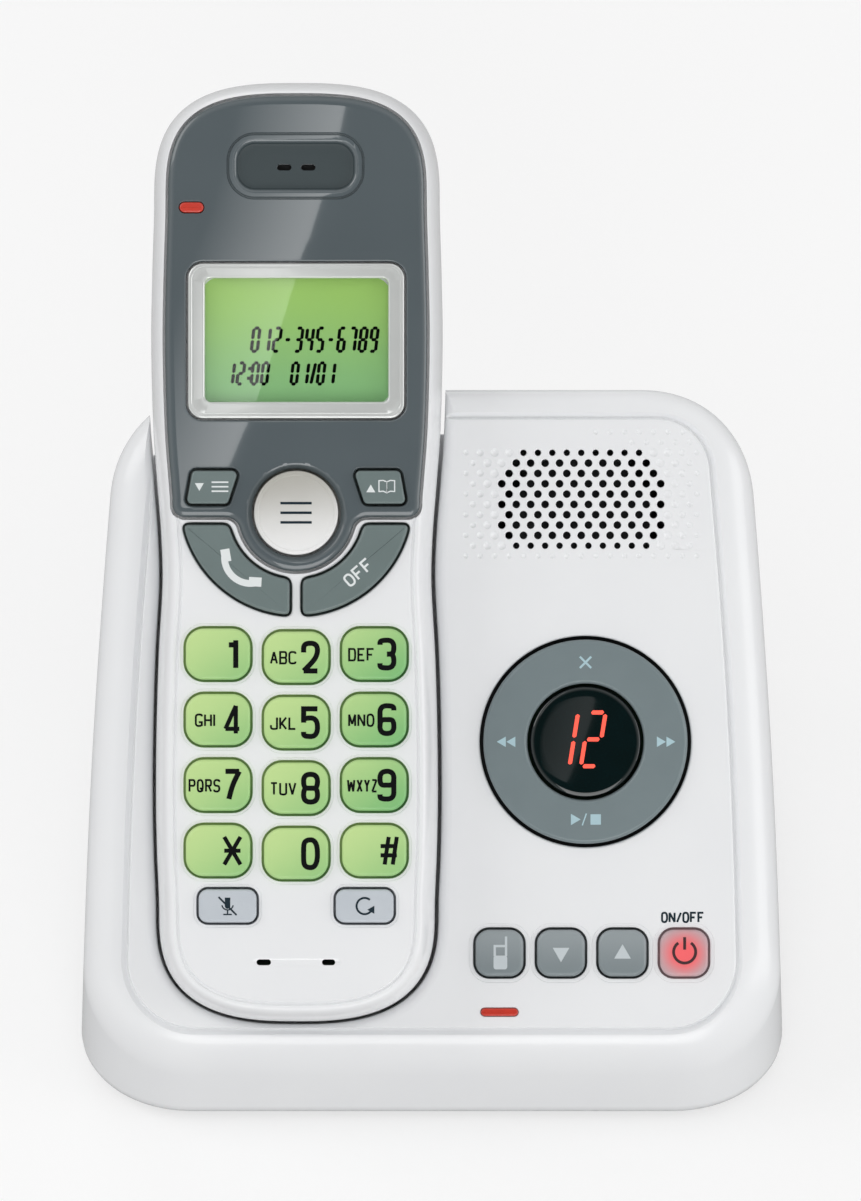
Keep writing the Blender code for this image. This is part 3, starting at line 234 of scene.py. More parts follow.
def turned(profile, centre=(0, 0), sides=64, closed=False):
    """A turned piece: each point of the profile, a radius and a height, draws one ring."""
    turns = np.linspace(0, 2 * math.pi, sides, endpoint=False)
    profile = np.array(profile, float)
    rings = np.empty((len(profile), sides, 3))
    rings[..., 0] = centre[0] + profile[:, :1] * np.cos(turns)
    rings[..., 1] = centre[1] + profile[:, :1] * np.sin(turns)
    rings[..., 2] = profile[:, 1:]
    return skin(rings, closed=closed)


def joined(parts):
    """Several skins as one list of points and one of faces."""
    points = np.vstack([part[0] for part in parts])
    starts = np.cumsum([0] + [len(part[0]) for part in parts[:-1]])
    return points, [[start + i for i in face] for start, part in zip(starts, parts) for face in part[1]]


def in_frame(points, place):
    """Points in a place's axes, as points in the frame's axes, both in millimetres."""
    return np.asarray(points) @ place.axes + place.origin


def new_object(name, parts, place):
    """An object whose mesh holds the skins at their place in millimetres, with its faces turned outward."""
    points, faces = joined(parts)
    mesh = bpy.data.meshes.new(name)
    mesh.from_pydata(in_frame(points, place).tolist(), [], faces)
    shape = bmesh.new()
    shape.from_mesh(mesh)
    bmesh.ops.recalc_face_normals(shape, faces=shape.faces)
    shape.to_mesh(mesh)
    shape.free()
    made = bpy.data.objects.new(name, mesh)
    bpy.context.scene.collection.objects.link(made)
    return made


def settled(piece):
    """The piece with its modifiers applied."""
    graph = bpy.context.evaluated_depsgraph_get()
    mesh = bpy.data.meshes.new_from_object(piece.evaluated_get(graph))
    piece.modifiers.clear()
    piece.data = mesh
    return piece


def cut_by(piece, cutter):
    """The piece without the cutter, which is used up."""
    boolean = piece.modifiers.new("cut", "BOOLEAN")
    boolean.object, boolean.solver = cutter, "MANIFOLD"
    settled(piece)
    bpy.data.objects.remove(cutter)
    return piece


def carve(piece, parts, place):
    """Cut the skins out of a piece."""
    return cut_by(piece, new_object("cutter", parts, place))


# %% [markdown]
# ## Finishes
#
# The phone is injection-moulded ABS nearly everywhere: white and glossy on the shells, grey on the ring and
# the call keys. The head's plate is smoked acrylic, the dial keys are translucent silicone lit from below,
# and small metal parts are gilded or plated. Each finish mixes two close colours by a noise of a real size,
# lets the same noise move its roughness, and takes a slight relief from a finer one, because even a new
# moulding isn't one flat colour.

# %% Colours, nodes and one function for moulded finishes
def linear(code):
    """An sRGB hex colour as linear light: c / 12.92 near black, ((c + 0.055) / 1.055) ^ 2.4 above."""
    c = np.array([int(code[i:i + 2], 16) for i in (0, 2, 4)]) / 255
    return (*np.where(c <= 0.04045, c / 12.92, ((c + 0.055) / 1.055) ** 2.4), 1.0)


def add_node(tree, kind, inputs=None, **settings):
    """One node with its settings. An input is given a value, or another node's output to be linked to."""
    made = tree.nodes.new(kind)
    for name, value in settings.items():
        setattr(made, name, value)
    for name, value in (inputs or {}).items():
        if isinstance(value, bpy.types.NodeSocket):
            tree.links.new(value, made.inputs[name])
        else:
            made.inputs[name].default_value = value
    return made


def new_material(name):
    made = bpy.data.materials.new(name)
    made.use_nodes = True
    shader = made.node_tree.nodes["Principled BSDF"]
    return made, made.node_tree, shader


def noise(tree, size, detail=2.0):
    """A noise whose grains are about a given number of millimetres across, in object coordinates."""
    coordinates = add_node(tree, "ShaderNodeTexCoord").outputs["Object"]
    return add_node(tree, "ShaderNodeTexNoise",
                    {"Vector": coordinates, "Scale": 1 / (size * MM), "Detail": detail}).outputs["Fac"]


def relief(tree, shader, height, depth):
    """A bump whose full swing is a given number of millimetres."""
    bump = add_node(tree, "ShaderNodeBump", {"Height": height, "Strength": 1.0, "Distance": depth * MM})
    tree.links.new(bump.outputs["Normal"], shader.inputs["Normal"])


def moulded(name, light, dark, roughness, patch=6.0, grain=0.35, depth=0.004, metallic=0.0, coat=0.0,
            shine=0.5):
    """A moulding: two close colours in patches, a roughness that follows them, and a fine-grained relief."""
    material, tree, shader = new_material(name)
    patches = noise(tree, patch)
    mix = add_node(tree, "ShaderNodeMix", {"Factor": patches}, data_type="RGBA")
    mix.inputs[6].default_value, mix.inputs[7].default_value = linear(light), linear(dark)
    rough = add_node(tree, "ShaderNodeMapRange", {"Value": patches, "To Min": roughness * 0.85,
                                                  "To Max": roughness * 1.15})
    tree.links.new(mix.outputs[2], shader.inputs["Base Color"])
    tree.links.new(rough.outputs[0], shader.inputs["Roughness"])
    shader.inputs["Metallic"].default_value = metallic
    shader.inputs["Specular IOR Level"].default_value = shine
    shader.inputs["Coat Weight"].default_value = coat
    shader.inputs["Coat Roughness"].default_value = 0.02
    if depth:
        relief(tree, shader, noise(tree, grain, 3.0), depth)
    return material


# Polished ABS: the mould's polish leaves a soft gloss, with a barely visible swell between its ribs
WHITE_ABS = moulded("polished_white_abs", "F3F4F5", "EEEFF1", 0.24, patch=14.0, coat=0.25)
# Spark-eroded ABS of the cover underneath: matt, with a grain that the eye can just see
MATT_ABS = moulded("matt_white_abs", "E6E7E8", "DDDFE0", 0.55, grain=0.5, depth=0.02)
# Smoked acrylic over grey paint: deep gloss, and a colour that shifts a little with its thickness
SMOKED_ACRYLIC = moulded("smoked_grey_acrylic", "60696D", "565F63", 0.05, patch=22.0, depth=0.0, coat=0.8)
# Satin grey ABS of the call keys and the ring: an eroded mould gives it a soft sheen without mirror lights
SATIN_GREY = moulded("satin_grey_abs", "7C898C", "738083", 0.34, grain=0.3, depth=0.006)
CALL_KEY_GREY = moulded("satin_slate_abs", "748281", "6A7877", 0.32, grain=0.3, depth=0.006)
# Pale silicone of the two small keys: soft, faintly blue
PALE_SILICONE = moulded("pale_blue_silicone", "C8CED4", "BDC4CB", 0.42, grain=0.25, depth=0.008)
# Metallic lacquer: flakes finer than the eye sees, drawn 0.2 mm wide so that they show as a soft sparkle
SILVER_LACQUER = moulded("bright_silver_lacquer", "DCDEDC", "CFD2D0", 0.22, grain=0.2, depth=0.002,
                         metallic=0.25, coat=0.5)
# Tinted polycarbonate of the window: black until something behind it lights up
BLACK_GLASS = moulded("tinted_black_polycarbonate", "04181A", "03100F", 0.05, depth=0.0, coat=0.5)
BLACK_ABS = moulded("matt_black_abs", "1C1D1E", "151617", 0.5, grain=0.4, depth=0.012)
DARK_INK = moulded("dark_pad_print_ink", "0A0D0E", "060809", 0.6, grain=0.12, depth=0.002, shine=0.1)
SLATE_INK = moulded("slate_pad_print_ink", "22323B", "1C2A33", 0.5, grain=0.12, depth=0.002, shine=0.15)
PALE_INK = moulded("pale_blue_pad_print_ink", "B4D0D8", "A6C4CC", 0.45, grain=0.12, depth=0.002)
GREY_INK = moulded("light_grey_pad_print_ink", "CBD3D6", "BFC7CB", 0.45, grain=0.12, depth=0.002)
WHITE_INK = moulded("white_pad_print_ink", "E9EDED", "DFE4E4", 0.45, grain=0.12, depth=0.002)
LCD_INK = moulded("liquid_crystal_segments", "060A06", "030603", 0.8, grain=0.1, depth=0.0, shine=0.0)
RED_LENS = moulded("red_polycarbonate_lens", "D8402F", "C33526", 0.22, patch=1.5, grain=0.3, coat=0.4)
RUBBER = moulded("grey_rubber", "5C5E5F", "505253", 0.85, grain=0.3, depth=0.03)
BOARD = moulded("solder_mask_green", "1E5B36", "18502E", 0.4, patch=1.2, grain=0.6, depth=0.01)
WRAP = moulded("blue_shrink_wrap", "3A5A8C", "304E7E", 0.35, patch=9.0, grain=2.5, depth=0.05)
STEEL = moulded("zinc_plated_steel", "C2C4C4", "AEB0B1", 0.3, grain=0.2, depth=0.004, metallic=1.0)
GOLD = moulded("gold_flashed_bronze", "E0BC6A", "CFA953", 0.25, grain=0.2, depth=0.004, metallic=1.0)


# %% [markdown]
# Some surfaces carry painted light: a dial key goes from a lighter yellow-green at its top left to a darker
# blue-green at its lower right, a painted highlight and painted shade as if light fell from one side. The display is
# painted lighter at its top.
# That fade follows each piece, so it is carried by a UV map, which runs from 0 to 1 across the piece.

# %% Finishes that fade across a piece
def faded(name, start, end, direction, roughness, glow=0.0, spread=(0.0, 1.0)):
    """Two colours mixed along a direction of the piece's UV map, or outward from its middle where there is
    none, with fine grain on top."""
    material, tree, shader = new_material(name)
    across = add_node(tree, "ShaderNodeUVMap", uv_map="across").outputs["UV"]
    along = add_node(tree, "ShaderNodeVectorMath", {0: across, 1: (*(direction or (0.5, 0.5)), 0)},
                     operation="DOT_PRODUCT" if direction else "DISTANCE")
    wavering = add_node(tree, "ShaderNodeMath", {0: noise(tree, 4.0), 1: 0.08, 2: -0.04}, operation="MULTIPLY_ADD")
    place = add_node(tree, "ShaderNodeMath", {0: along.outputs["Value"], 1: wavering.outputs[0]}, operation="ADD")
    share = add_node(tree, "ShaderNodeMapRange", {"Value": place.outputs[0], "From Min": spread[0],
                                                  "From Max": spread[1]}, interpolation_type="SMOOTHSTEP")
    mix = add_node(tree, "ShaderNodeMix", {"Factor": share.outputs[0]}, data_type="RGBA")
    mix.inputs[6].default_value, mix.inputs[7].default_value = linear(start), linear(end)
    tree.links.new(mix.outputs[2], shader.inputs["Base Color"])
    if glow:
        tree.links.new(mix.outputs[2], shader.inputs["Emission Color"])
        shader.inputs["Emission Strength"].default_value = glow
    shader.inputs["Roughness"].default_value = roughness
    relief(tree, shader, noise(tree, 0.3, 3.0), 0.005)
    return material


# Green silicone, satin: its lighter top left and darker lower right are painted light and shade, and its faint glow
# is painted light too
GREEN_SILICONE_PAINTED_LIGHT = faded("green_silicone_painted_light", "C1DC92", "69B36E", (0.45, -0.55), 0.38, glow=0.08,
                       spread=(-0.65, 1.15))
# Green display: painted lighter at its top, a painted light falling from above, with a faint painted glow
GREEN_LCD_PAINTED_LIGHT = faded("green_display_painted_light", "9FC968", "86BA7E", (0.0, -1.0), 0.3, glow=0.13,
                  spread=(-1.0, 0.0))
RED_SILICONE = faded("backlit_red_silicone", "F26468", "B9A3A7", None, 0.36, glow=0.1, spread=(0.15, 0.62))
# Satin grey of the three base buttons, painted a little paler at the top as light falling from above
BUTTON_GREY_PAINTED_LIGHT = faded("satin_grey_abs_painted_light", "979FA2", "818B8E", (0.0, -1.0), 0.34, spread=(-1.0, 0.0))
# Silver lacquer of the menu button, with painted shade at the top and a painted highlight at the bottom, as its
# slight hollow would reflect them
PEARL_LACQUER_PAINTED_LIGHT = faded("silver_lacquer_painted_light", "B3B1A9", "F1F1F0", (0.15, -1.0), 0.3, spread=(-0.95, 0.05))


def mapped(piece, place, size, centre):
    """A UV map named across: 0 to 1 over a size round a centre, in the place's own x and y."""
    mesh = piece.data
    co = np.empty(len(mesh.vertices) * 3)
    mesh.vertices.foreach_get("co", co)
    local = (co.reshape(-1, 3) - place.origin) @ place.axes.T
    share = (local[:, :2] - centre) / size + 0.5
    corners = np.empty(len(mesh.loops), int)
    mesh.loops.foreach_get("vertex_index", corners)
    layer = mesh.uv_layers.new(name="across")
    layer.data.foreach_set("uv", share[corners].ravel())


# %% [markdown]
# A piece is built and cut in millimetres, because faces a tenth of a millimetre wide get lost in a mesh that
# counts in metres. Once it is whole it is scaled to metres, shaded smooth with its real edges kept sharp,
# gets its material and rides on its body, and the model's nodes that it stands for are hidden. Weighted normals make
# the large flat faces look flat right up to a hole. They are worked out while such a face is still one face, and only
# then are the many-sided faces parted into triangles.

# %% Finish a piece
SHARP = math.radians(32)


def finish(piece, material, body, slot, *nodes):
    mesh = piece.data
    mesh.transform(Matrix.Scale(MM, 4))
    mesh.materials.clear()
    mesh.materials.append(material)
    mesh.shade_smooth()
    mesh.set_sharp_from_angle(angle=SHARP)
    weights = piece.modifiers.new("flat faces stay flat", "WEIGHTED_NORMAL")
    weights.keep_sharp = True
    parting = piece.modifiers.new("triangles", "TRIANGULATE")
    parting.min_vertices, parting.ngon_method, parting.keep_custom_normals = 5, "BEAUTY", True
    settled(piece)
    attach(piece, body)
    if nodes:
        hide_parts(*nodes)
    return piece


# %% [markdown]
# ## The base housing
#
# The base is a wedge. Seen square to its panel it is a trapezoid with large round corners and sides that bow
# out a little. Its edge rolls over softly from the walls to a shallow groove, and inside the groove the panel
# is flat. It is one moulding, so one skin makes it: rings up the wall, rings over the rolled edge, where
# each lies between the outer outline and the groove's, rings through the groove, and the panel as its end.

# %% Base outlines
BASE_LENGTH = 111.5
BASE_FRONT_WIDTH, BASE_BACK_WIDTH = 117.4, 105.0
BASE_CORNER = 17.0
BASE_BOW = 1.2
BASE_DRAFT = 1.0
BASE_WALL = 2.5
BASE_POINTS = 320
FOOT_HEIGHT = 2.5
COVER_TOP = 5.0
GAP = 0.3
SKIRT = 1.3  # the foot of the wall hides most of the rubber feet
EDGE_DROP = 6.5
GROOVE_FRONT, GROOVE_BACK = 3.0, 107.3
GROOVE_FRONT_WIDTH, GROOVE_BACK_WIDTH = 104.6, 93.4
GROOVE_CORNERS = (12.0, 12.0, 9.5, 9.5)
GROOVE_PROFILE = ((0.0, 0.0), (-0.15, -0.1), (-0.4, -0.5), (-0.7, -0.85), (-0.95, -0.9), (-1.12, -0.45),
                  (-1.2, -0.12), (-1.35, 0.0))


def trapezoid(front, back, front_width, back_width, corners, bow):
    """A rounded trapezoid whose sides bow out by a half sine of the way from front to back."""
    a, b = front_width / 2, back_width / 2
    line = rounded([(-a, front), (a, front), (b, back), (-b, back)], corners, 24)
    line = even(line, BASE_POINTS)
    line[:, 0] += np.sign(line[:, 0]) * bow * np.sin(np.pi * np.clip((line[:, 1] - front) / (back - front), 0, 1))
    return even(line, BASE_POINTS)


BASE_OUTLINE = trapezoid(0, BASE_LENGTH, BASE_FRONT_WIDTH, BASE_BACK_WIDTH, BASE_CORNER, BASE_BOW)
GROOVE_OUTLINE = trapezoid(GROOVE_FRONT, GROOVE_BACK, GROOVE_FRONT_WIDTH, GROOVE_BACK_WIDTH,
                           GROOVE_CORNERS, BASE_BOW)
GROUND_OUTLINE = grown(BASE_OUTLINE * (1, math.cos(TILT)), BASE_DRAFT)
GROUND_OUTLINE[:, 1] += 0.3 * (1 - smoothstep(0, 80, GROUND_OUTLINE[:, 1]))
print("base outline", np.ptp(BASE_OUTLINE, axis=0).round(1), "mm")


def on_slope(points):
    """A ring in the slope's axes, in those of the level base."""
    x, v, w = np.asarray(points).T
    return np.column_stack([x, v * math.cos(TILT) - w * math.sin(TILT),
                            LIP + v * math.sin(TILT) + w * math.cos(TILT)])


def base_rings(wall, foot, groove):
    """The wall from its foot, then the rolled edge. Wall and slope would meet in a corner c; the roll starts
    at w, a step down the wall, ends at s on the groove's outline, and at a turn t lies at
    c + (w - c)(1 - sin t) + (s - c)(1 - cos t), so that it leaves both of them without a crease."""
    flat = np.full(BASE_POINTS, 0.0)
    ground = grown(GROUND_OUTLINE, -wall)
    rings = [np.column_stack([grown(ground, -inset), flat + height])
             for inset, height in ((1.6, foot), (1.0, foot + 0.35), (0.5, foot + 0.9), (0.15, foot + 1.9), (0, foot + 3.2))]
    outer = grown(BASE_OUTLINE, -wall)
    outer[:, 1] += 2.3 * smoothstep(60, BASE_LENGTH, outer[:, 1])
    corner = on_slope(np.column_stack([outer, flat - wall]))
    on_top = on_slope(np.column_stack([grown(GROOVE_OUTLINE, -wall), flat - wall]))
    down = rings[-1] - corner
    down *= EDGE_DROP / np.linalg.norm(down, axis=1, keepdims=True)
    rings += [corner + down * (1 - math.sin(turn)) + (on_top - corner) * (1 - math.cos(turn))
              for turn in np.radians(np.linspace(0, 90, 16))]
    if groove:
        rings += [on_slope(ring) for ring in at_heights(GROOVE_OUTLINE, GROOVE_PROFILE)[1:]]
    return np.array(rings)


# %% [markdown]
# The cradle is cut to the handset's own outline, so that outline comes next. Its tail and crown are
# quarters of a superellipse, |x/a|^n + |y/b|^n = 1, which is squarer than an ellipse, and a smooth curve
# through a few widths joins them: the waist is where the fingers hold.

# %% Handset outline
HANDSET_LENGTH, HANDSET_WIDTH = 157.0, 48.8
TAIL_LENGTH, TAIL_POWER = 18.0, 2.7
CROWN_LENGTH, CROWN_POWER = 20.0, 2.9
HANDSET_POINTS = 360
SIDE_SHARES = (  # of the length and of the half width, from the tail to the crown
    (0.115, 0.945), (0.180, 0.960), (0.240, 0.967), (0.320, 0.962), (0.395, 0.947), (0.470, 0.922),
    (0.520, 0.932), (0.570, 0.957), (0.630, 0.985), (0.725, 1.000), (0.800, 0.992), (0.873, 0.980),
)


def quarter(half_width, length, power):
    """From the middle of an end to its side: x = a sin(t)^(2/n), y = b - b cos(t)^(2/n)."""
    turns = np.linspace(0, math.pi / 2, 60)
    return np.column_stack([half_width * np.sin(turns) ** (2 / power),
                            length - length * np.cos(turns) ** (2 / power)])


def handset_outline():
    half = HANDSET_WIDTH / 2
    tail = quarter(half * SIDE_SHARES[0][1], TAIL_LENGTH, TAIL_POWER)
    crown = quarter(half * SIDE_SHARES[-1][1], CROWN_LENGTH, CROWN_POWER)[::-1] * (1, -1) + (0, HANDSET_LENGTH)
    shares = np.array(SIDE_SHARES)
    at = np.linspace(TAIL_LENGTH, HANDSET_LENGTH - CROWN_LENGTH, 80)
    widths = half * smooth_through(at, shares[:, 0] * HANDSET_LENGTH, shares[:, 1])
    right = np.vstack([tail[:-1], np.column_stack([widths, at]), crown[1:]])
    return even(np.vstack([right, mirrored(right[1:-1])]), HANDSET_POINTS)


HANDSET_OUTLINE = handset_outline()
print("handset outline", np.ptp(HANDSET_OUTLINE, axis=0).round(1), "mm")

# %% [markdown]
# The housing is hollow. Under the cradle hangs a tub, two columns take the cover's screws, and four posts
# hold the board. The hollow is made as a solid of its own, with the tub, columns and posts cut out of it,
# and then it is cut out of the housing.

# %% Base housing
POCKET_CLEARANCE = 0.6
SEAT_GAP = 0.4
POCKET_DEPTH = 14.0
SLOPE_IN_HANDSET = POCKET_DEPTH - SEAT_GAP  # height of the panel over the handset's back
KEY_CLEARANCE = 0.4
OVERRUN = 2.0
BASE_BUTTON_SIZE, BASE_BUTTON_CORNER = (8.0, 7.8), 2.3
BASE_BUTTON_X, BASE_BUTTON_PITCH, BASE_BUTTON_V = 11.3, 10.3, 16.7
RING_HOLE = 17.7
IN_USE_SIZE, IN_USE_V = (6.2, 1.3), 6.8
GRILLE_X, GRILLE_TOP_V = 25.0, 100.5
GRILLE_PITCH = (2.42, 1.73)
GRILLE_ROWS = (9, 10, 11, 12, 11, 12, 11, 12, 11, 10)
DIMPLE_COLUMNS = 17
BASE_POSTS = ((9.0, 27.5), (44.5, 27.5), (9.0, 74.0), (43.0, 74.0))
POST_RADIUS = 1.5
BOARD_TOP = -5.8
BASE_SCREW_V = (30.0, 85.0)
HANDSET_X = HANDSET.origin[0]
CONTACTS = ((-7.0, 12.0), (7.0, 12.0))
JACK_SOCKETS = {"line_jack": (26.0, 10.0, 7.0), "power_jack": (8.0, 7.0, 7.0)}  # centre, width and height
JACK_MIDDLE = COVER_TOP + GAP + 6.0
BASE_BUTTON_PLACES = [(BASE_BUTTON_X + i * BASE_BUTTON_PITCH, BASE_BUTTON_V) for i in range(4)]


def grille_rows():
    """Every hole and dimple: its place, and whether it goes through. Rows are half a pitch off each other."""
    holes, dimples = [], []
    for row in range(-2, len(GRILLE_ROWS) + 1):
        v = GRILLE_TOP_V - row * GRILLE_PITCH[1]
        shift = 0.5 * (row % 2)
        open_count = GRILLE_ROWS[row] if 0 <= row < len(GRILLE_ROWS) else 0
        steps = np.arange(DIMPLE_COLUMNS - row % 2) - (DIMPLE_COLUMNS - 1) / 2 + shift
        for k in steps:
            x = GRILLE_X + k * GRILLE_PITCH[0]
            if abs(k) <= (open_count - 1) / 2 + 0.01:
                holes.append((x, v, 0.55 if row in (0, len(GRILLE_ROWS) - 1) else 0.66))
            elif row >= 0 or k > (0.5 if row == -2 else 3):
                far = max(abs(k) / (DIMPLE_COLUMNS / 2), 0.6 if 0 <= row < len(GRILLE_ROWS) else 0.95)
                dimples.append((x, v, 0.74 - 0.3 * smoothstep(0.7, 1.0, far)))
    return holes, dimples


def flared(outline, low, face, clearance, lip=0.12, step=0.0, depth=0.08):
    """A hole's cutter: straight up, then opening over a lip, with a shallow step round it if asked."""
    profile = [(clearance, low), (clearance, face - lip)]
    profile += [(clearance + lip * (1 - math.cos(a)), face - lip + lip * math.sin(a)) for a in (0.5, 1.0)]
    if step:
        profile = [(g, h - depth) for g, h in profile]
        profile += [(clearance + lip, face - depth), (clearance + lip + step, face - depth),
                    (clearance + lip + step + depth, face), (clearance + lip + step + depth, face + OVERRUN)]
    else:
        profile += [(clearance + lip, face), (clearance + lip, face + OVERRUN)]
    return skin(at_heights(outline, profile))


def parted(piece, place, heights):
    """Large faces of a slope parted along lines across it, so that no face carries two rows of holes."""
    shape = bmesh.new()
    shape.from_mesh(piece.data)
    for v in heights:
        faces = [f for f in shape.faces if abs(f.normal @ Vector(place.axes[2])) > 0.999 and f.calc_area() > 100]
        edges = {edge for f in faces for edge in f.edges}
        points = {point for f in faces for point in f.verts}
        bmesh.ops.bisect_plane(shape, geom=[*faces, *edges, *points], plane_co=in_frame((0, v, 0), place),
                               plane_no=place.axes[1])
    shape.to_mesh(piece.data)
    shape.free()


def base_housing():
    piece = new_object("upper_housing", [skin(base_rings(0, SKIRT, True))], BASE)
    hollow = new_object("hollow", [skin(base_rings(BASE_WALL, SKIRT - OVERRUN, False))], BASE)
    pocket = grown(HANDSET_OUTLINE, POCKET_CLEARANCE)
    carve(hollow, [prism(grown(pocket, BASE_WALL), -SEAT_GAP - BASE_WALL, 27.0)], HANDSET)
    carve(hollow, [prism(circle(3.5, 24, (HANDSET_X, v * math.cos(TILT))), COVER_TOP + GAP, 90.0)
                   for v in BASE_SCREW_V], BASE)
    carve(hollow, [prism(circle(POST_RADIUS, 24, place), BOARD_TOP + GAP, OVERRUN)
                   for place in BASE_POSTS], SLOPE)
    cut_by(piece, hollow)
    rim = SLOPE_IN_HANDSET
    soft_rim = [(0, -SEAT_GAP), (0, rim - 1.8)]
    soft_rim += [(1.8 * (1 - math.cos(a)), rim - 1.8 + 1.8 * math.sin(a)) for a in np.linspace(0.2, 1.4, 7)]
    soft_rim += [(1.8, rim), (1.8, 27.0)]
    carve(piece, [skin(at_heights(pocket, soft_rim))], HANDSET)
    low = -BASE_WALL - OVERRUN / 2
    button = rectangle(BASE_BUTTON_SIZE, BASE_BUTTON_CORNER)
    cutters = [flared(button + place, low, 0, KEY_CLEARANCE, step=0.5) for place in BASE_BUTTON_PLACES]
    cutters.append(flared(circle(RING_HOLE, 120, (RING_X, RING_V)), low, 0, 0, lip=0.4))
    cutters.append(flared(pill(IN_USE_SIZE, (BASE_BUTTON_X, IN_USE_V)), low, 0, 0.1))
    carve(piece, cutters, SLOPE)
    contact = rectangle((3.0, 5.0), 0.6)
    carve(piece, [prism(grown(contact + place, KEY_CLEARANCE), -SEAT_GAP - BASE_WALL - OVERRUN, OVERRUN)
                  for place in CONTACTS], HANDSET)
    back = BASE_LENGTH * math.cos(TILT) + BASE_DRAFT
    windows = [prism(rectangle((width, 8.0), 0.3, (x, back)), JACK_MIDDLE - height / 2,
                     JACK_MIDDLE + height / 2) for x, width, height in JACK_SOCKETS.values()]
    carve(piece, windows, BASE)
    parted(piece, SLOPE, [GRILLE_TOP_V - (row - 0.5) * GRILLE_PITCH[1] for row in range(-2, len(GRILLE_ROWS) + 2)])
    holes, dimples = grille_rows()
    cutters = [skin(at_heights(circle(r, 12, (x, v)), ((0, low), (0, -0.15), (0.15, 0), (0.15, 1))))
               for x, v, r in holes]
    cutters += [skin(at_heights(circle(r, 10, (x, v)), ((-0.8 * r, -0.5 * r), (-0.4 * r, -0.4 * r),
                                                          (-0.12 * r, -0.16 * r), (0, 0), (0, 1)))) for x, v, r in dimples]
    carve(piece, cutters, SLOPE)
    print("base housing:", len(holes), "grille holes,", len(dimples), "dimples,", len(piece.data.polygons), "faces")
    return finish(piece, WHITE_ABS, "base", "white_shell", "base_upper_housing")


base_housing()

# %% [markdown]
# ## The handset's front housing
#
# The white front is a thin shell whose rim rolls in by 2.6 mm over a quarter ellipse. Its flat face carries a
# shallow recess for the grey plate, and a fine groove that carries the plate's edge on round the tail. Each
# key sits in its own well: a hole a little larger than the key, with a shallow frame round it.

# %% Measures along the handset
PARTING = 14.5
FACE_TOP, UNDER_FACE, RECESS_FLOOR = 27.0, 24.5, 25.8
PLATE_LOW, PLATE_TOP = 26.1, 27.6
FRONT_EDGE, HANDSET_WALL = 2.6, 2.0
DIAL_SIZE, DIAL_CORNER, DIAL_PITCH = (10.7, 8.5), 3.0, (13.0, 10.9)
DIAL_BOTTOM_V, DIAL_DROP = 28.8, 0.5
SMALL_KEY_SIZE, SMALL_KEY_CORNER, SMALL_KEY_X, SMALL_KEY_V = (9.6, 5.5), 1.5, 11.4, 19.6
MENU_V, MENU_RADIUS, BULGE_RADIUS = 85.0, 7.0, 9.7
LENS_V, LENS_SIZE, LENS_CORNER = 113.6, (36.0, 25.8), 2.5
WINDOW_PLACE, WINDOW_SIZE, WINDOW_CORNER = (0.08, 113.75), (30.4, 20.5), 1.0
EAR_V, EAR_SLOT = 142.5, (2.4, 1.0)
MIC_V, MIC_SLOT, MIC_X = 10.2, (2.2, 1.0), 5.4
LIGHT_SIZE, LIGHT_PLACE = (4.0, 1.7), (-17.4, 135.8)
SCREW_PLACES = ((-16.0, 130.0), (16.0, 130.0))
POSTS = ((0.0, 19.6), (-12.0, 97.0), (12.0, 97.0))
DIAL_NAMES = (("star", "0", "pound"), ("7", "8", "9"), ("4", "5", "6"), ("1", "2", "3"))
DIAL_PLACES = {name: ((column - 1) * DIAL_PITCH[0],
                      DIAL_BOTTOM_V + row * DIAL_PITCH[1] - (DIAL_DROP if column == 1 else 0))
               for row, names in enumerate(DIAL_NAMES) for column, name in enumerate(names)}


def call_outline():
    """The key left of the split: between two arcs, level at its top and upright at the split."""
    outer = arc((0, 87.2), 19.2, 180 + math.degrees(math.asin(4.2 / 19.2)),
                180 + math.degrees(math.acos(1.1 / 19.2)), 40)
    inner = arc((0, 85.4), 11.5, 180 + math.degrees(math.acos(1.1 / 11.5)),
                180 + math.degrees(math.asin(2.4 / 11.5)), 30)
    return softened(np.vstack([outer, inner]), 1.5, 240)


def nav_outline():
    """The key right of the menu button: four corners, rounded."""
    return rounded([(11.4, 86.5), (18.25, 86.5), (17.25, 92.0), (9.6, 92.0)], 0.8)


def face_outline():
    """The grey plate: the handset's outline drawn in, level at v 84.3, and round the menu button a bulge
    that meets the level edge with a fillet."""
    inner = grown(HANDSET_OUTLINE, -FRONT_EDGE)
    side = inner[(inner[:, 0] > 0) & (inner[:, 1] > 86.6)]
    corner = arc((side[0, 0] - 2.0, 86.3), 2.0, -90, 0, 10)
    fillet = arc((11.77, 81.8), 2.5, 164.8, 90, 14)
    bulge = arc((0, MENU_V), BULGE_RADIUS, -90, -15.2, 30)
    right = np.vstack([bulge, fillet, corner, side])
    return even(np.vstack([right, mirrored(right)[1:-1]]), 420)


FACE_OUTLINE = face_outline()
CALL_OUTLINE = call_outline()
print("plate outline", np.ptp(FACE_OUTLINE, axis=0).round(1), "mm,", len(DIAL_PLACES), "dial keys")


# %% Front housing
def front_rings(inset, low, top):
    """A quarter ellipse: at a turn a the outline is drawn in by the edge times 1 - cos a, and it lies at
    low + (top - low) sin a."""
    turns = np.radians(np.linspace(0, 90, 15))
    return at_heights(HANDSET_OUTLINE, [(-inset - FRONT_EDGE * (1 - math.cos(a)), low + (top - low) * math.sin(a))
                                        for a in turns])


def groove(outline, inset, width, depth, face):
    """The cutter of a fine groove along an outline: a flat-bottomed V, closed on itself."""
    profile = ((-inset, face + 0.2), (-inset, face), (-inset - width * 0.3, face - depth),
               (-inset - width * 0.7, face - depth), (-inset - width, face), (-inset - width, face + 0.2))
    return skin(at_heights(outline, profile), closed=True)


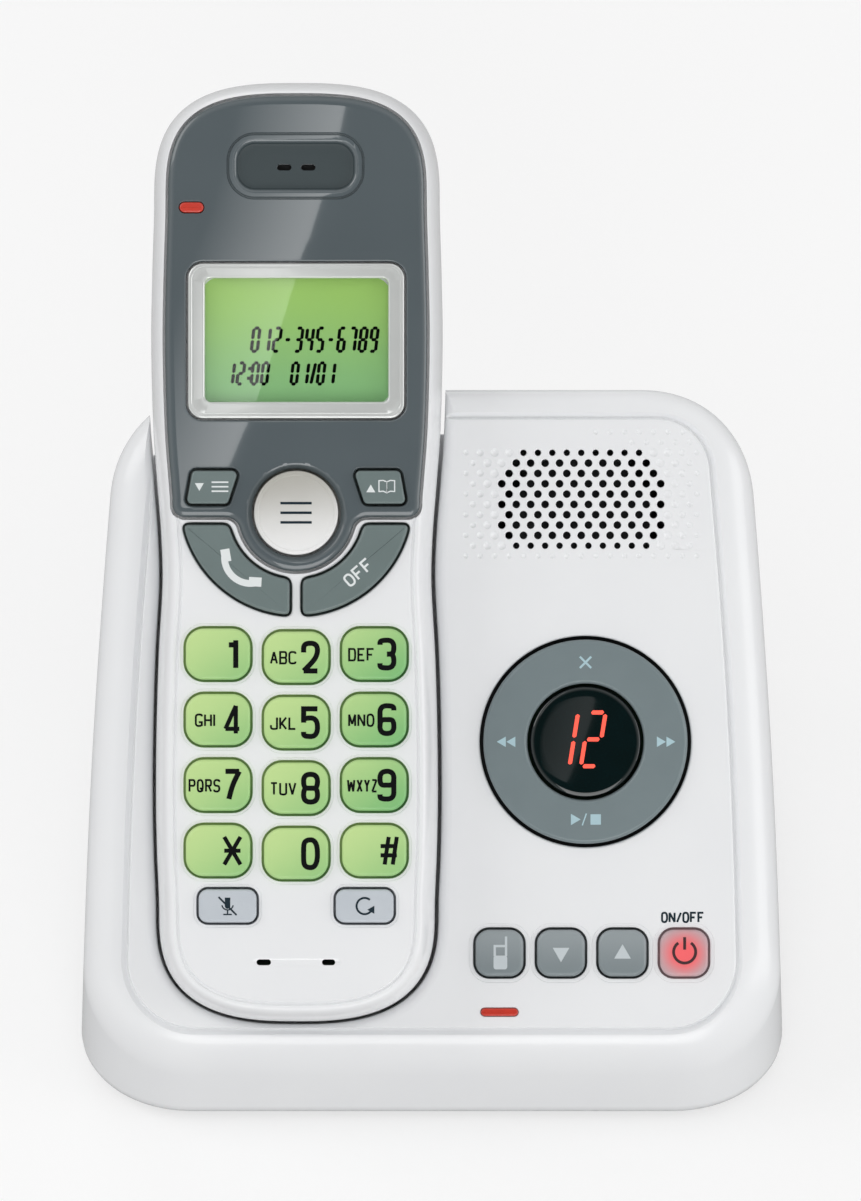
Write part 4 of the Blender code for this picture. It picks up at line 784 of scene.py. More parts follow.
def front_housing():
    rim = PARTING + 0.15
    piece = new_object("front_housing", [skin(front_rings(0, rim, FACE_TOP))], HANDSET)
    inside = np.concatenate([at_heights(HANDSET_OUTLINE, ((-HANDSET_WALL, rim - OVERRUN),)),
                             front_rings(HANDSET_WALL, rim, UNDER_FACE)])
    hollow = new_object("hollow", [skin(inside)], HANDSET)
    carve(hollow, [prism(circle(POST_RADIUS, 24, place), 21.5, FACE_TOP) for place in POSTS]
          + [prism(circle(2.6, 32, place), rim, FACE_TOP) for place in SCREW_PLACES], HANDSET)
    cut_by(piece, hollow)
    low = UNDER_FACE - OVERRUN / 2
    recess = skin(at_heights(FACE_OUTLINE, ((KEY_CLEARANCE, RECESS_FLOOR), (KEY_CLEARANCE, FACE_TOP - 0.3),
                                            (KEY_CLEARANCE + 0.1, FACE_TOP - 0.08), (KEY_CLEARANCE + 0.3, FACE_TOP),
                                            (KEY_CLEARANCE + 0.3, FACE_TOP + OVERRUN))))
    carve(piece, [groove(HANDSET_OUTLINE, 2.95, 0.7, 0.35, FACE_TOP)], HANDSET)
    carve(piece, [recess], HANDSET)
    dial = rectangle(DIAL_SIZE, DIAL_CORNER)
    small = rectangle(SMALL_KEY_SIZE, SMALL_KEY_CORNER)
    wells = [flared(dial + place, low, FACE_TOP, KEY_CLEARANCE, step=0.3) for place in DIAL_PLACES.values()]
    wells += [flared(small + (side * SMALL_KEY_X, SMALL_KEY_V), low, FACE_TOP, KEY_CLEARANCE, step=0.3)
              for side in (-1, 1)]
    wells += [flared(outline, low, FACE_TOP, KEY_CLEARANCE, lip=0.3)
              for outline in (CALL_OUTLINE, mirrored(CALL_OUTLINE))]
    carve(piece, wells, HANDSET)
    through = [prism(rectangle((31.2, 21.0), LENS_CORNER, (0, LENS_V)), low, FACE_TOP),
               prism(circle(MENU_RADIUS + KEY_CLEARANCE, 64, (0, MENU_V)), low, FACE_TOP),
               prism(grown(pill(LIGHT_SIZE, LIGHT_PLACE), KEY_CLEARANCE), low, FACE_TOP)]
    through += [prism(grown(outline, KEY_CLEARANCE), low, FACE_TOP)
                for outline in (nav_outline(), mirrored(nav_outline()))]
    through += [prism(pill(EAR_SLOT, (x, EAR_V)), low, FACE_TOP) for x in (-2.0, 2.0)]
    through += [prism(circle(1.3, 24, place), PARTING - OVERRUN, 16.6) for place in SCREW_PLACES]
    carve(piece, through, HANDSET)
    link = skin(at_heights(pill((15.2, 1.5), (0.1, MIC_V)), ((-0.35, FACE_TOP - 0.14), (0, FACE_TOP),
                                                             (0, FACE_TOP + 1))))
    slots = [prism(pill((width, MIC_SLOT[1]), (x, MIC_V)), low, FACE_TOP + OVERRUN)
             for x, width in ((-MIC_X, 2.4), (MIC_X, MIC_SLOT[0]))]
    carve(carve(piece, [link], HANDSET), slots, HANDSET)
    print("front housing:", len(piece.data.polygons), "faces")
    return finish(piece, WHITE_ABS, "handset", "white_shell", "handset_front_housing")


front_housing()

# %% [markdown]
# The back is the part the palm feels: its edge rolls in by 6.5 mm, and past the batteries it steps up, so that
# the head is thinner. The door over the batteries slides off toward the head, so it has a stepped end and a
# patch of ridges for the thumb.

# %% Rear housing and battery door
BACK_EDGE, BACK_WALL, HEAD_RELIEF = 6.5, 3.5, 5.0
DOOR_SIZE, DOOR_START_V, DOOR_THICKNESS, DOOR_CORNER = (33.0, 68.0), 20.0, 1.8, 3.0
BATTERY_BOX = ((31.5, 44.5), (0.0, 47.25), 12.9)


def back_rings(inset, lift, rim):
    """The quarter ellipse upside down: its lowest ring lies at the back's own height, which rises by a
    smoothstep from v 96 to v 112."""
    rings = [at_heights(HANDSET_OUTLINE, ((-inset, rim),))[0]]
    for a in np.radians(np.linspace(0, 90, 15)):
        ring = grown(HANDSET_OUTLINE, -inset - BACK_EDGE * (1 - math.cos(a)))
        low = HEAD_RELIEF * smoothstep(96, 112, ring[:, 1]) + lift
        rings.append(np.column_stack([ring, low + (PARTING - 0.2 - low) * (1 - math.sin(a))]))
    return np.array(rings)


def bars_across(rings):
    """A skin whose last ring is closed by strips that run straight across from side to side, so that a face
    that is bent along its length still has flat pieces. Point i faces point -i."""
    points, faces = skin(rings, end="open")
    count = rings.shape[1]
    start = (len(rings) - 1) * count
    i = np.arange(1, count // 2)
    strips = np.column_stack([i, i + 1, count - i - 1, count - i])[:-1] + start
    first, last = [start, start + 1, start + count - 1], [start + count // 2 - 1, start + count // 2,
                                                          start + count // 2 + 1]
    return points, faces + strips.tolist() + [first, last]


def rear_housing():
    piece = new_object("rear_housing", [bars_across(back_rings(0, 0, PARTING - 0.15))], HANDSET)
    hollow = new_object("hollow", [bars_across(back_rings(HANDSET_WALL, BACK_WALL, PARTING + OVERRUN))], HANDSET)
    size, centre, top = BATTERY_BOX
    bay = rectangle((size[0] + 0.8, size[1] + 0.8), DOOR_CORNER, centre)
    carve(hollow, [prism(grown(bay, 1.2), -OVERRUN, PARTING + 4)]
          + [prism(circle(2.6, 32, place), 0, PARTING + 4) for place in SCREW_PLACES], HANDSET)
    cut_by(piece, hollow)
    door = rectangle((DOOR_SIZE[0] + 0.6, 2 * DOOR_SIZE[1]), DOOR_CORNER,
                     (0, DOOR_START_V - GAP + DOOR_SIZE[1]))
    carve(piece, [prism(bay, -OVERRUN, top + GAP)], HANDSET)
    carve(piece, [prism(door, -OVERRUN, DOOR_THICKNESS + GAP)], HANDSET)
    small = [prism(grown(rectangle((4.0, 6.0), 0.6, place), GAP), -OVERRUN, BACK_WALL + OVERRUN)
             for place in CONTACTS]
    small += [prism(circle(2.2, 40, place), 0, 6.5) for place in SCREW_PLACES]
    small += [prism(circle(1.3, 24, place), 6.0, PARTING + OVERRUN) for place in SCREW_PLACES]
    carve(piece, small, HANDSET)
    print("rear housing:", len(piece.data.polygons), "faces")
    return finish(piece, WHITE_ABS, "handset", "white_shell", "handset_rear_housing")


def battery_door():
    """A plate with rounded edges, and eleven shallow grooves drawn shorter toward the patch's two ends."""
    outline = rectangle(DOOR_SIZE, DOOR_CORNER, (0, DOOR_START_V + DOOR_SIZE[1] / 2), 12)
    edge = [(-0.4 * (1 - math.cos(a)), 0.4 - 0.4 * math.sin(a)) for a in np.radians((0, 30, 60, 90))]
    piece = new_object("sliding_door", [skin(at_heights(outline, [(0, DOOR_THICKNESS)] + edge))], HANDSET)
    cuts = []
    for k in range(11):
        width = 15.0 * math.sqrt(1 - ((k - 5) / 6.5) ** 2)
        bar = pill((width, 0.8), (0, 68.0 + 1.7 * k))
        cuts.append(skin(at_heights(bar, ((0, -1), (0, 0), (-0.25, 0.35)))))
    carve(piece, cuts, HANDSET)
    print("battery door:", len(cuts), "grip grooves")
    return finish(piece, WHITE_ABS, "battery_door", "white_shell", "battery_door")


rear_housing()
battery_door()

# %% [markdown]
# ## The grey plate
#
# The plate is one piece of smoked acrylic with a rolled edge. Over the ear slots it has a bowl with a fine
# line round it, and the menu button sits in a shallow dish. The bowl and the dish are cutters too, so the
# light breaks on the same soft lips as on the housing. Below the plate's face the finish is painted darker
# and loses its coat, a painted shade that deepens down into the bowl.

# %% Plate over the ear and the display
def shade_painted_below(material, level, depth, code):
    """Painted shade: mix a darker colour into a finish, and take its clear coat away, from a level of the
    handset down to a depth below it, as shade deepens down a recess."""
    tree = material.node_tree
    shader = tree.nodes["Principled BSDF"]
    plain = shader.inputs["Base Color"].links[0].from_socket
    spot = add_node(tree, "ShaderNodeTexCoord").outputs["Object"]
    height = add_node(tree, "ShaderNodeVectorMath", {0: spot, 1: UP.tolist()}, operation="DOT_PRODUCT")
    top = (HANDSET.origin @ UP + level) * MM
    share = add_node(tree, "ShaderNodeMapRange", {"Value": height.outputs["Value"], "From Min": top,
                                                  "From Max": top - depth * MM})
    mix = add_node(tree, "ShaderNodeMix", {"Factor": share.outputs[0]}, data_type="RGBA")
    mix.inputs[7].default_value = linear(code)
    tree.links.new(plain, mix.inputs[6])
    tree.links.new(mix.outputs[2], shader.inputs["Base Color"])
    coat = add_node(tree, "ShaderNodeMapRange", {"Value": share.outputs[0], "To Min": shader.inputs["Coat Weight"].default_value,
                                                 "To Max": 0.0})
    rough = add_node(tree, "ShaderNodeMapRange", {"Value": share.outputs[0], "To Max": 0.5})
    rough.inputs["To Min"].default_value = 0.05
    tree.links.new(coat.outputs[0], shader.inputs["Coat Weight"])
    tree.links.new(rough.outputs[0], shader.inputs["Roughness"])


def ear_bowl():
    """Rings of a rounded rectangle: down a soft wall to a floor that sinks a little toward the slots."""
    rim = rectangle((19.4, 7.6), 2.9, (-0.1, 142.7), 16)
    drawn = [(0.75, PLATE_TOP + 1), (0.75, PLATE_TOP), (0.45, PLATE_TOP - 0.05), (0.2, PLATE_TOP - 0.2),
             (0.0, PLATE_TOP - 0.55), (-0.15, PLATE_TOP - 0.85), (-0.5, PLATE_TOP - 0.97), (-1.2, PLATE_TOP - 0.95)]
    return skin(at_heights(rim, drawn))


def plate():
    edge = [(-1.5 * (1 - math.cos(a)), PLATE_TOP - 0.6 + 0.6 * math.sin(a))
            for a in np.radians(np.linspace(0, 90, 9))]
    piece = new_object("ear_plate", [skin(at_heights(FACE_OUTLINE, [(0, PLATE_LOW)] + edge))], HANDSET)
    low = PLATE_LOW - 1
    carve(piece, [ear_bowl(), groove(rectangle((19.4, 7.6), 2.9, (-0.1, 142.7), 16), -1.8, 0.5, 0.3, PLATE_TOP),
                  flared(rectangle(LENS_SIZE, LENS_CORNER, (0, LENS_V)), low, PLATE_TOP, GAP, lip=0.3),
                  flared(pill(LIGHT_SIZE, LIGHT_PLACE), low, PLATE_TOP, 0.12, lip=0.15),
                  flared(nav_outline(), low, PLATE_TOP, KEY_CLEARANCE, lip=0.3),
                  flared(mirrored(nav_outline()), low, PLATE_TOP, KEY_CLEARANCE, lip=0.3)], HANDSET)
    dish = [(7.4, low), (7.4, PLATE_TOP - 0.5), (7.7, PLATE_TOP - 0.34), (8.1, PLATE_TOP - 0.12),
            (8.45, PLATE_TOP), (8.45, PLATE_TOP + 1)]
    slots = [flared(pill(EAR_SLOT, (x, EAR_V)), low, PLATE_TOP - 0.95, 0, lip=0.12) for x in (-2.0, 2.0)]
    carve(piece, [turned(dish, (0, MENU_V), 96)] + slots, HANDSET)
    print("plate:", len(piece.data.polygons), "faces")
    # Painted shade in the ear bowl: the plate darkens below its face
    shade_painted_below(SMOKED_ACRYLIC, PLATE_TOP - 0.05, 0.6, "3A4548")
    return finish(piece, SMOKED_ACRYLIC, "handset", "grey_gloss", "earpiece_faceplate")


plate()

# %% [markdown]
# ## The display
#
# A silver frame stands a little proud of the plate. Inside it lies a clear pane, and under the pane the
# green display, whose figures are the slanted bars of a seven-segment digit. The pane is a mix of a
# Transparent and a Glossy shader by Fresnel: it lets the green through unchanged and adds only a reflection.

# %% Frame, pane and display
FRAME_TOP = 27.9
DISPLAY_TOP = 25.6


def blended(outer, inner, steps):
    """Rings between two outlines of as many points: each step is the share of the way in, and a height."""
    return np.array([np.column_stack([outer + (inner - outer) * share, np.full(len(outer), height)])
                     for share, height in steps])


def display_frame():
    outer = rectangle(LENS_SIZE, LENS_CORNER, (0, LENS_V), 12)
    inner = rectangle(WINDOW_SIZE, WINDOW_CORNER, WINDOW_PLACE, 12)
    top = FRAME_TOP
    steps = [(0, PLATE_LOW), (0, top - 0.35), (0.03, top - 0.12), (0.1, top), (0.19, top), (0.24, top - 0.1),
             (0.3, top - 0.1), (0.35, top - 0.02), (0.8, top - 0.05), (0.88, top - 0.02), (0.95, top - 0.12),
             (1.0, top - 0.5), (1.0, PLATE_LOW)]
    piece = new_object("display_frame", [skin(blended(outer, inner, steps), closed=True)], HANDSET)
    return finish(piece, SILVER_LACQUER, "handset", "clear_lens", "display_lens")


def clear_pane_material():
    # Cast acrylic: clear, seen only by what it reflects
    material, tree, shader = new_material("clear_cast_acrylic")
    tree.nodes.remove(shader)
    bend = add_node(tree, "ShaderNodeBump", {"Height": noise(tree, 30.0), "Strength": 1.0, "Distance": 0.01 * MM})
    share = add_node(tree, "ShaderNodeFresnel", {"IOR": 1.49, "Normal": bend.outputs["Normal"]})
    through = add_node(tree, "ShaderNodeBsdfTransparent", {"Color": (0.97, 0.98, 0.97, 1)})
    gloss = add_node(tree, "ShaderNodeBsdfGlossy", {"Color": (1, 1, 1, 1), "Roughness": 0.02,
                                                    "Normal": bend.outputs["Normal"]})
    inside = add_node(tree, "ShaderNodeNewGeometry").outputs["Backfacing"]
    outside = add_node(tree, "ShaderNodeMath", {0: 1.0, 1: inside}, operation="SUBTRACT")
    shown = add_node(tree, "ShaderNodeMath", {0: share.outputs[0], 1: outside.outputs[0]}, operation="MULTIPLY")
    mix = add_node(tree, "ShaderNodeMixShader", {0: shown.outputs[0], 1: through.outputs[0], 2: gloss.outputs[0]})
    output = next(n for n in tree.nodes if n.type == "OUTPUT_MATERIAL")
    tree.links.new(mix.outputs[0], output.inputs["Surface"])
    return material


def display_pane():
    outline = rectangle((WINDOW_SIZE[0] - 0.1, WINDOW_SIZE[1] - 0.1), WINDOW_CORNER, WINDOW_PLACE, 8)
    piece = new_object("display_pane", [prism(outline, FRAME_TOP - 1.0, FRAME_TOP - 0.6)], HANDSET)
    finish(piece, clear_pane_material(), "handset", "clear_lens")


SEGMENTS = {"0": "abcdef", "1": "bc", "2": "abged", "3": "abgcd", "4": "fgbc", "5": "afgcd", "6": "afgedc",
            "7": "abc", "8": "abcdefg", "9": "abcdfg", "-": "g"}


def bar(start, end, width):
    """A segment: a bar whose two ends come to a blunt point."""
    start, end = np.array(start, float), np.array(end, float)
    along = (end - start) / np.linalg.norm(end - start)
    side = np.array([-along[1], along[0]]) * width / 2
    nose = along * width / 3
    return np.array([start, start + nose - side, end - nose - side, end, end - nose + side, start + nose + side])


def segment_outlines(text, corner, height, pitch, width, slant=0.12, weight=0.55, gap=0.06):
    """Bars of a line of digits from its lower left corner. A point (x, y) leans to x + slant y."""
    outlines, half, g = [], height / 2, gap
    lefts = np.cumsum([0] + [{":": 0.42, "/": 0.62}.get(letter, 1.0) * pitch for letter in text])
    for letter, left in zip(text, lefts):
        ends = {"a": ((g, height), (width - g, height)), "g": ((g, half), (width - g, half)),
                "d": ((g, 0), (width - g, 0)), "f": ((0, half + g), (0, height - g)),
                "b": ((width, half + g), (width, height - g)), "e": ((0, g), (0, half - g)),
                "c": ((width, g), (width, half - g))}
        outlines += [bar(*ends[name], weight) + (left, 0) for name in SEGMENTS.get(letter, "")]
        if letter == ":":
            outlines += [rectangle((weight, weight), 0.02, (left + 0.2, y * height), 1) for y in (0.27, 0.73)]
        if letter == "/":
            outlines.append(bar((left, 0), (left + 0.4, height), weight))
    return [np.column_stack([o[:, 0] + slant * o[:, 1], o[:, 1]]) + corner for o in outlines]


def printed(name, outlines, place, level, material, body, slot, thickness=0.03):
    """Ink: every outline as a thin slab that lies on a level."""
    piece = new_object(name, [prism(outline, level, level + thickness) for outline in outlines], place)
    return finish(piece, material, body, slot)


def px(x, y):
    """A pixel of the photograph, in millimetres along the handset: 6 px are 1 mm."""
    return (x - 296.5) / 6, (1023 - y) / 6


def display():
    outline = rectangle((31.0, 20.8), 0.8, (0, LENS_V))
    piece = new_object("display_panel", [prism(outline, 24.3, DISPLAY_TOP)], HANDSET)
    # The display's painted light, lighter at the top, runs along this map
    mapped(piece, HANDSET, (31.0, 20.8), (0, LENS_V))
    finish(piece, GREEN_LCD_PAINTED_LIGHT, "handset", "green_display", "lcd_module")
    rows = segment_outlines("012-345-6789", px(251.5, 351.5), 3.85, 1.79, 1.0)
    rows += segment_outlines("12:00", px(227, 384.2), 3.5, 1.67, 0.93)
    rows += segment_outlines("01/01", px(291, 384.2), 3.5, 1.67, 0.93)
    printed("display_figures", rows, HANDSET, DISPLAY_TOP, LCD_INK, "handset", "green_display", 0.02)
    print("display:", len(rows), "dark segments")


display_frame()
display_pane()
display()

# %% [markdown]
# ## Keys
#
# A key is a cap with a flange under the housing that keeps it from falling out. Its edge is a quarter round.
# What is printed on it lies on the flat top as a thin layer of ink. The dial carries digits and the usual
# letters beside them; the rest carries plain signs, drawn as strokes of a given width.

# %% Caps and ink
KEY_FLANGE, FLANGE_LOW, FLANGE_TOP = 0.6, 23.6, 24.2
KEY_TOP, FACE_KEY_TOP = 28.0, 28.6


def cap(outline, flange_low, top, edge, width=None):
    """A key from its flange up, with its edge turned in over a quarter ellipse that is as high as edge."""
    width = width or edge
    profile = [(KEY_FLANGE, flange_low), (KEY_FLANGE, flange_low + KEY_FLANGE), (0, flange_low + KEY_FLANGE)]
    profile += [(-width * (1 - math.cos(a)), top - edge + edge * math.sin(a))
                for a in np.radians(np.linspace(0, 90, 7))]
    return skin(at_heights(outline, profile))


def stroke(points, width, closed=False):
    """A line of a given width: the path moved out to both sides by half of it, with square ends. At a bend
    with normals n and m it moves by (n + m) / (1 + n.m), which keeps the width."""
    points = np.array(points, float)
    if closed:
        return [grown(points, width / 2), grown(points, -width / 2)]
    step = np.diff(points, axis=0)
    normal = np.column_stack([-step[:, 1], step[:, 0]]) / np.linalg.norm(step, axis=1, keepdims=True)
    before, after = np.vstack([normal[:1], normal]), np.vstack([normal, normal[-1:]])
    side = (before + after) * (width / 2 / (1 + (before * after).sum(axis=1, keepdims=True)))
    return np.vstack([points - side, (points + side)[::-1]])


def ring_slab(outer, inner, low, high):
    """A closed band between two outlines of as many points."""
    rings = [np.column_stack([line, np.full(len(line), height)])
             for line, height in ((outer, low), (outer, high), (inner, high), (inner, low))]
    return skin(rings, closed=True)


def cut_corners(path, rounds=3):
    """Chaikin's curve: each round keeps the ends and puts two points at 1/4 and 3/4 of every step."""
    for _ in range(rounds):
        quarter, rest = 0.75 * path[:-1] + 0.25 * path[1:], 0.25 * path[:-1] + 0.75 * path[1:]
        path = np.vstack([path[:1], np.stack([quarter, rest], axis=1).reshape(-1, 2)[1:-1], path[-1:]])
    return path


# Each letter is a few strokes on a grid of 5 by 7 points, written as pairs of x and y; ~ marks a curve
LETTERS = {
    "0": "~03 06 46 40 00 03", "1": "~15 35 36|36 30", "2": "~04 06 46 43 00|00 40",
    "3": "~05 06 46 43 23|~23 43 40 00 01", "4": "30 36|36 01|01 41", "5": "46 06 03|~03 04 44 40 00 01",
    "6": "~23 43 40 00 03 23|~02 03 06 46 45", "7": "06 46|~46 23 10", "8": "~23 03 06 46 43 23|~23 03 00 40 43 23",
    "9": "~23 03 06 46 43 23|~44 43 40 00 01", "A": "00 26|26 40|12 32", "B": "20 00 06 26|03 23|~26 46 43 23|~23 43 40 20",
    "C": "~45 46 06 03 00 40 41", "D": "20 00 06 26|~26 46 40 20", "E": "46 06 00 40|03 33", "F": "46 06 00|03 33",
    "G": "~45 46 06 03 00 40 42|22 42 40", "H": "00 06|40 46|03 43", "I": "00 06", "J": "~46 41 40 00 02", "K": "00 06|46 02|13 40",
    "L": "06 00 40", "M": "00 06|06 21|21 46|46 40", "N": "00 06|06 40|40 46", "O": "~03 06 46 40 00 03",
    "P": "00 06 26|~26 46 43 23|23 03", "Q": "~03 06 46 40 00 03|22 40", "R": "00 06 26|~26 46 43 23|03 23 40",
    "S": "~45 46 06 03 43 40 00 01", "T": "06 46|26 20", "U": "~06 02 00 40 42 46", "V": "06 20|20 46",
    "W": "06 10|10 35|35 50|50 66", "X": "06 40|00 46", "Y": "06 23|46 23|23 20", "Z": "06 46|46 00|00 40", "/": "00 36",
    "*": "06 40|00 46|03 43", "#": "10 26|30 46|02 42|04 44",
}


def lettering(text, centre, size, level, weight, gap=None, turn=0.0, thickness=0.03):
    """Letters of strokes as thin slabs: size is a full letter's width and height over its strokes' middles."""
    gap = weight * 1.9 if gap is None else gap
    paths, left = [], 0.0
    for letter in text:
        drawn = [(part.startswith("~"), np.array([[int(c) for c in pair] for pair in part.strip("~").split()], float))
                 for part in LETTERS[letter].split("|")]
        wide = np.vstack([path for _, path in drawn])[:, 0].max() / 4 * size[0]
        for curved, path in drawn:
            path = (cut_corners(path) if curved else path) * (size[0] / 4, size[1] / 6) + (left, -size[1] / 2)
            paths.append(path)
        left += wide + gap
    cos, sin = math.cos(math.radians(turn)), math.sin(math.radians(turn))
    turned_to = np.array([[cos, sin], [-sin, cos]])
    return [prism(stroke((path - ((left - gap) / 2, 0)) @ turned_to + centre, weight), level, level + thickness + 0.002 * (i % 4))
            for i, path in enumerate(paths)]


def ink(name, parts, place, material, body, slot):
    return finish(new_object(name, parts, place), material, body, slot)


def slabs(outlines, level):
    return [prism(outline, level, level + 0.03) for outline in outlines]


# %% [markdown]
# The dial keys are wider than they are high, with the digit at the right and its letters at the left.

# %% Dial keys
DIAL_LETTERS = {"2": "ABC", "3": "DEF", "4": "GHI", "5": "JKL", "6": "MNO", "7": "PQRS", "8": "TUV", "9": "WXYZ"}


def dial_key(name, place):
    body = f"key_{name}"
    place = np.array(place)
    piece = new_object(f"dial_{name}", [cap(rectangle(DIAL_SIZE, DIAL_CORNER, place, 10), FLANGE_LOW, KEY_TOP, 0.5, 0.6)],
                       HANDSET)
    # Painted light and shade run across each key on this map; it is shifted on the right column, whose keys come out
    # darker and greener
    mapped(piece, HANDSET, DIAL_SIZE, place - (8.6 if name in "369" else 0, 0))
    finish(piece, GREEN_SILICONE_PAINTED_LIGHT, body, "green_key", body)
    digit = {"star": "*", "pound": "#"}.get(name, name)
    at = place + (2.1 if name in "1369" else 2.4, 0.0)
    size, weight = ((2.7, 4.6), 0.68) if digit in "*#" else ((2.3, 4.6), 0.7 if digit == "4" else 0.85)
    parts = lettering(digit, at, size, KEY_TOP, weight)
    if name in DIAL_LETTERS:
        letters = DIAL_LETTERS[name]
        narrow, left = {"WXYZ": (0.7, -2.0), "PQRS": (0.84, -2.25)}.get(letters, (1.0, -2.15))
        parts += lettering(letters, place + (left, -0.1), (narrow, 1.9), KEY_TOP, 0.33, 0.53)
    ink(f"print_{name}", parts, HANDSET, DARK_INK, body, "green_key")


for dial_name, dial_place in DIAL_PLACES.items():
    dial_key(dial_name, dial_place)
print(len(DIAL_PLACES), "dial keys with", sum(map(len, DIAL_LETTERS.values())), "letters")

# %% [markdown]
# The two call keys are slices of a ring round the menu button. One carries a handset, the other the word OFF.

# %% Call keys, small keys, menu and side keys
def handset_sign(centre, size, turn):
    """A telephone handset: a bowed grip as an arc, with an ear and a mouth as two short fat strokes."""
    radius, spread = size * 0.62, 52
    grip = arc((0, radius * 0.75), radius, 270 - spread, 270 + spread, 14)
    outlines = [stroke(grip, size * 0.16)]
    for side in (-1, 1):
        end = np.array([side * radius * math.sin(math.radians(spread)),
                        radius * 0.75 - radius * math.cos(math.radians(spread))])
        inward = np.array([-side * 0.62, 0.78])
        outlines.append(stroke([end - inward * size * 0.08, end + inward * size * 0.14], size * 0.3))
    cos, sin = math.cos(math.radians(turn)), math.sin(math.radians(turn))
    return [outline @ np.array([[cos, sin], [-sin, cos]]) + centre for outline in outlines]


def triangle(centre, size, turn):
    """A solid arrow head that points along a turn in degrees."""
    return arc(centre, size / math.sqrt(3), turn, turn + 360, 3)[:-1]


def call_keys():
    for name, outline in (("talk", CALL_OUTLINE), ("off", mirrored(CALL_OUTLINE))):
        piece = new_object(f"{name}_cap", [cap(outline, FLANGE_LOW, KEY_TOP, 0.45, 0.55)], HANDSET)
        finish(piece, CALL_KEY_GREY, f"{name}_key", "grey_key", f"{name}_key")
    sign = handset_sign(px(238, 572), 7.0, -42)
    ink("talk_sign", [prism(o, KEY_TOP, KEY_TOP + 0.03 + 0.004 * i) for i, o in enumerate(sign)], HANDSET, WHITE_INK,
        "talk_key", "grey_key")
    ink("off_sign", lettering("OFF", px(358.5, 572.5), (1.25, 1.9), KEY_TOP, 0.36, 0.62, turn=41), HANDSET,
        WHITE_INK, "off_key", "grey_key")


def small_keys():
    outline = rectangle(SMALL_KEY_SIZE, SMALL_KEY_CORNER, (0, 0), 8)
    for side, name in ((-1, "mute"), (1, "redial")):
        centre = np.array([side * SMALL_KEY_X, SMALL_KEY_V])
        piece = new_object(f"{name}_cap", [cap(outline + centre, FLANGE_LOW, KEY_TOP, 0.4, 0.5)], HANDSET)
        finish(piece, PALE_SILICONE, f"{name}_key", "pale_key", f"{name}_key")
        if name == "mute":
            lines = [pill((0.9, 0.9), centre), stroke([centre + (0, 0.0), centre + (0, 1.4)], 0.9),
                     stroke(arc(centre + (0, 0.3), 0.95, 190, 350, 12), 0.2),
                     stroke([centre + (0, -0.7), centre + (0, -1.4)], 0.22),
                     stroke([centre + (-0.7, -1.4), centre + (0.7, -1.4)], 0.22),
                     stroke([centre + (-1.5, 1.5), centre + (1.5, -1.5)], 0.28)]
        else:
            lines = [stroke(arc(centre, 1.35, 50, 325, 24), 0.34), triangle(centre + (1.22, -0.62), 1.35, 60)]
        parts = [prism(line, KEY_TOP, KEY_TOP + 0.03 + 0.004 * i) for i, line in enumerate(lines)]
        ink(f"{name}_sign", parts, HANDSET, SLATE_INK, f"{name}_key", "pale_key")


def menu_and_side_keys():
    face = [(7.6, FLANGE_LOW), (7.6, FLANGE_TOP), (7.0, FLANGE_TOP), (7.0, FACE_KEY_TOP - 0.45),
            (6.95, FACE_KEY_TOP - 0.2), (6.8, FACE_KEY_TOP - 0.05), (6.6, FACE_KEY_TOP), (6.4, FACE_KEY_TOP - 0.03),
            (6.25, FACE_KEY_TOP - 0.16), (6.1, FACE_KEY_TOP - 0.2)]
    piece = new_object("menu_cap", [turned(face, (0, MENU_V), 128)], HANDSET)
    # The menu's painted shade at the top and painted highlight at the bottom run along this map
    mapped(piece, HANDSET, (14.0, 14.0), (0, MENU_V))
    finish(piece, PEARL_LACQUER_PAINTED_LIGHT, "menu_button", "silver", "menu_button")
    lines = [stroke([(-2.6, MENU_V + y), (2.6, MENU_V + y)], 0.42) for y in (-1.6, 0, 1.6)]
    ink("menu_sign", slabs(lines, FACE_KEY_TOP - 0.2), HANDSET, SLATE_INK, "menu_button", "silver")
    outline = nav_outline()
    for name, shape in (("directory", outline), ("call_list", mirrored(outline))):
        piece = new_object(f"{name}_cap", [cap(shape, FLANGE_LOW, FACE_KEY_TOP, 0.4, 0.4)], HANDSET)
        finish(piece, CALL_KEY_GREY, f"{name}_key", "grey_key", f"{name}_key")
    book = np.array(px(387, 487))
    half_book = np.array([(0, -1.0), (0.6, -0.75), (1.3, -0.8), (1.3, 1.0), (0.6, 1.05), (0, 0.8)])
    signs = [stroke(half_book + book, 0.2, closed=True), stroke(mirrored(half_book) + book, 0.2, closed=True)]
    parts = [ring_slab(outer, inner, FACE_KEY_TOP, FACE_KEY_TOP + 0.03) for outer, inner in signs]
    parts.append(prism(triangle(px(371, 490), 1.5, 90), FACE_KEY_TOP, FACE_KEY_TOP + 0.03))
    ink("directory_sign", parts, HANDSET, WHITE_INK, "directory_key", "grey_key")
    middle = np.array(px(220, 487))
    lines = [stroke([middle + (-1.3, y), middle + (1.5, y)], 0.26) for y in (-0.75, 0, 0.75)]
    lines.append(triangle(px(200, 486), 1.5, 270))
    ink("call_list_sign", slabs(lines, FACE_KEY_TOP), HANDSET, WHITE_INK, "call_list_key", "grey_key")


def charge_light():
    piece = new_object("charge_lens", [cap(pill(LIGHT_SIZE, LIGHT_PLACE), FLANGE_LOW, 27.9, 0.3, 0.3)], HANDSET)
    finish(piece, RED_LENS, "handset", "red_light", "charge_light")


call_keys()
small_keys()
menu_and_side_keys()
charge_light()

# %% [markdown]
# ## The base's controls
#
# The ring is one rocker with four signs on it, and a black window in its middle shows a number in red bars.
# Below it are three grey buttons and a red one that is lit from inside, and a red lens shows that the line
# is in use.

# %% Ring and window
RING_TOP = 1.3
WINDOW_TOP = 0.8


def slope_px(x, y):
    """A pixel of the photograph, in millimetres on the slope."""
    return (x - 432) / 6, (1055 - y) / 6


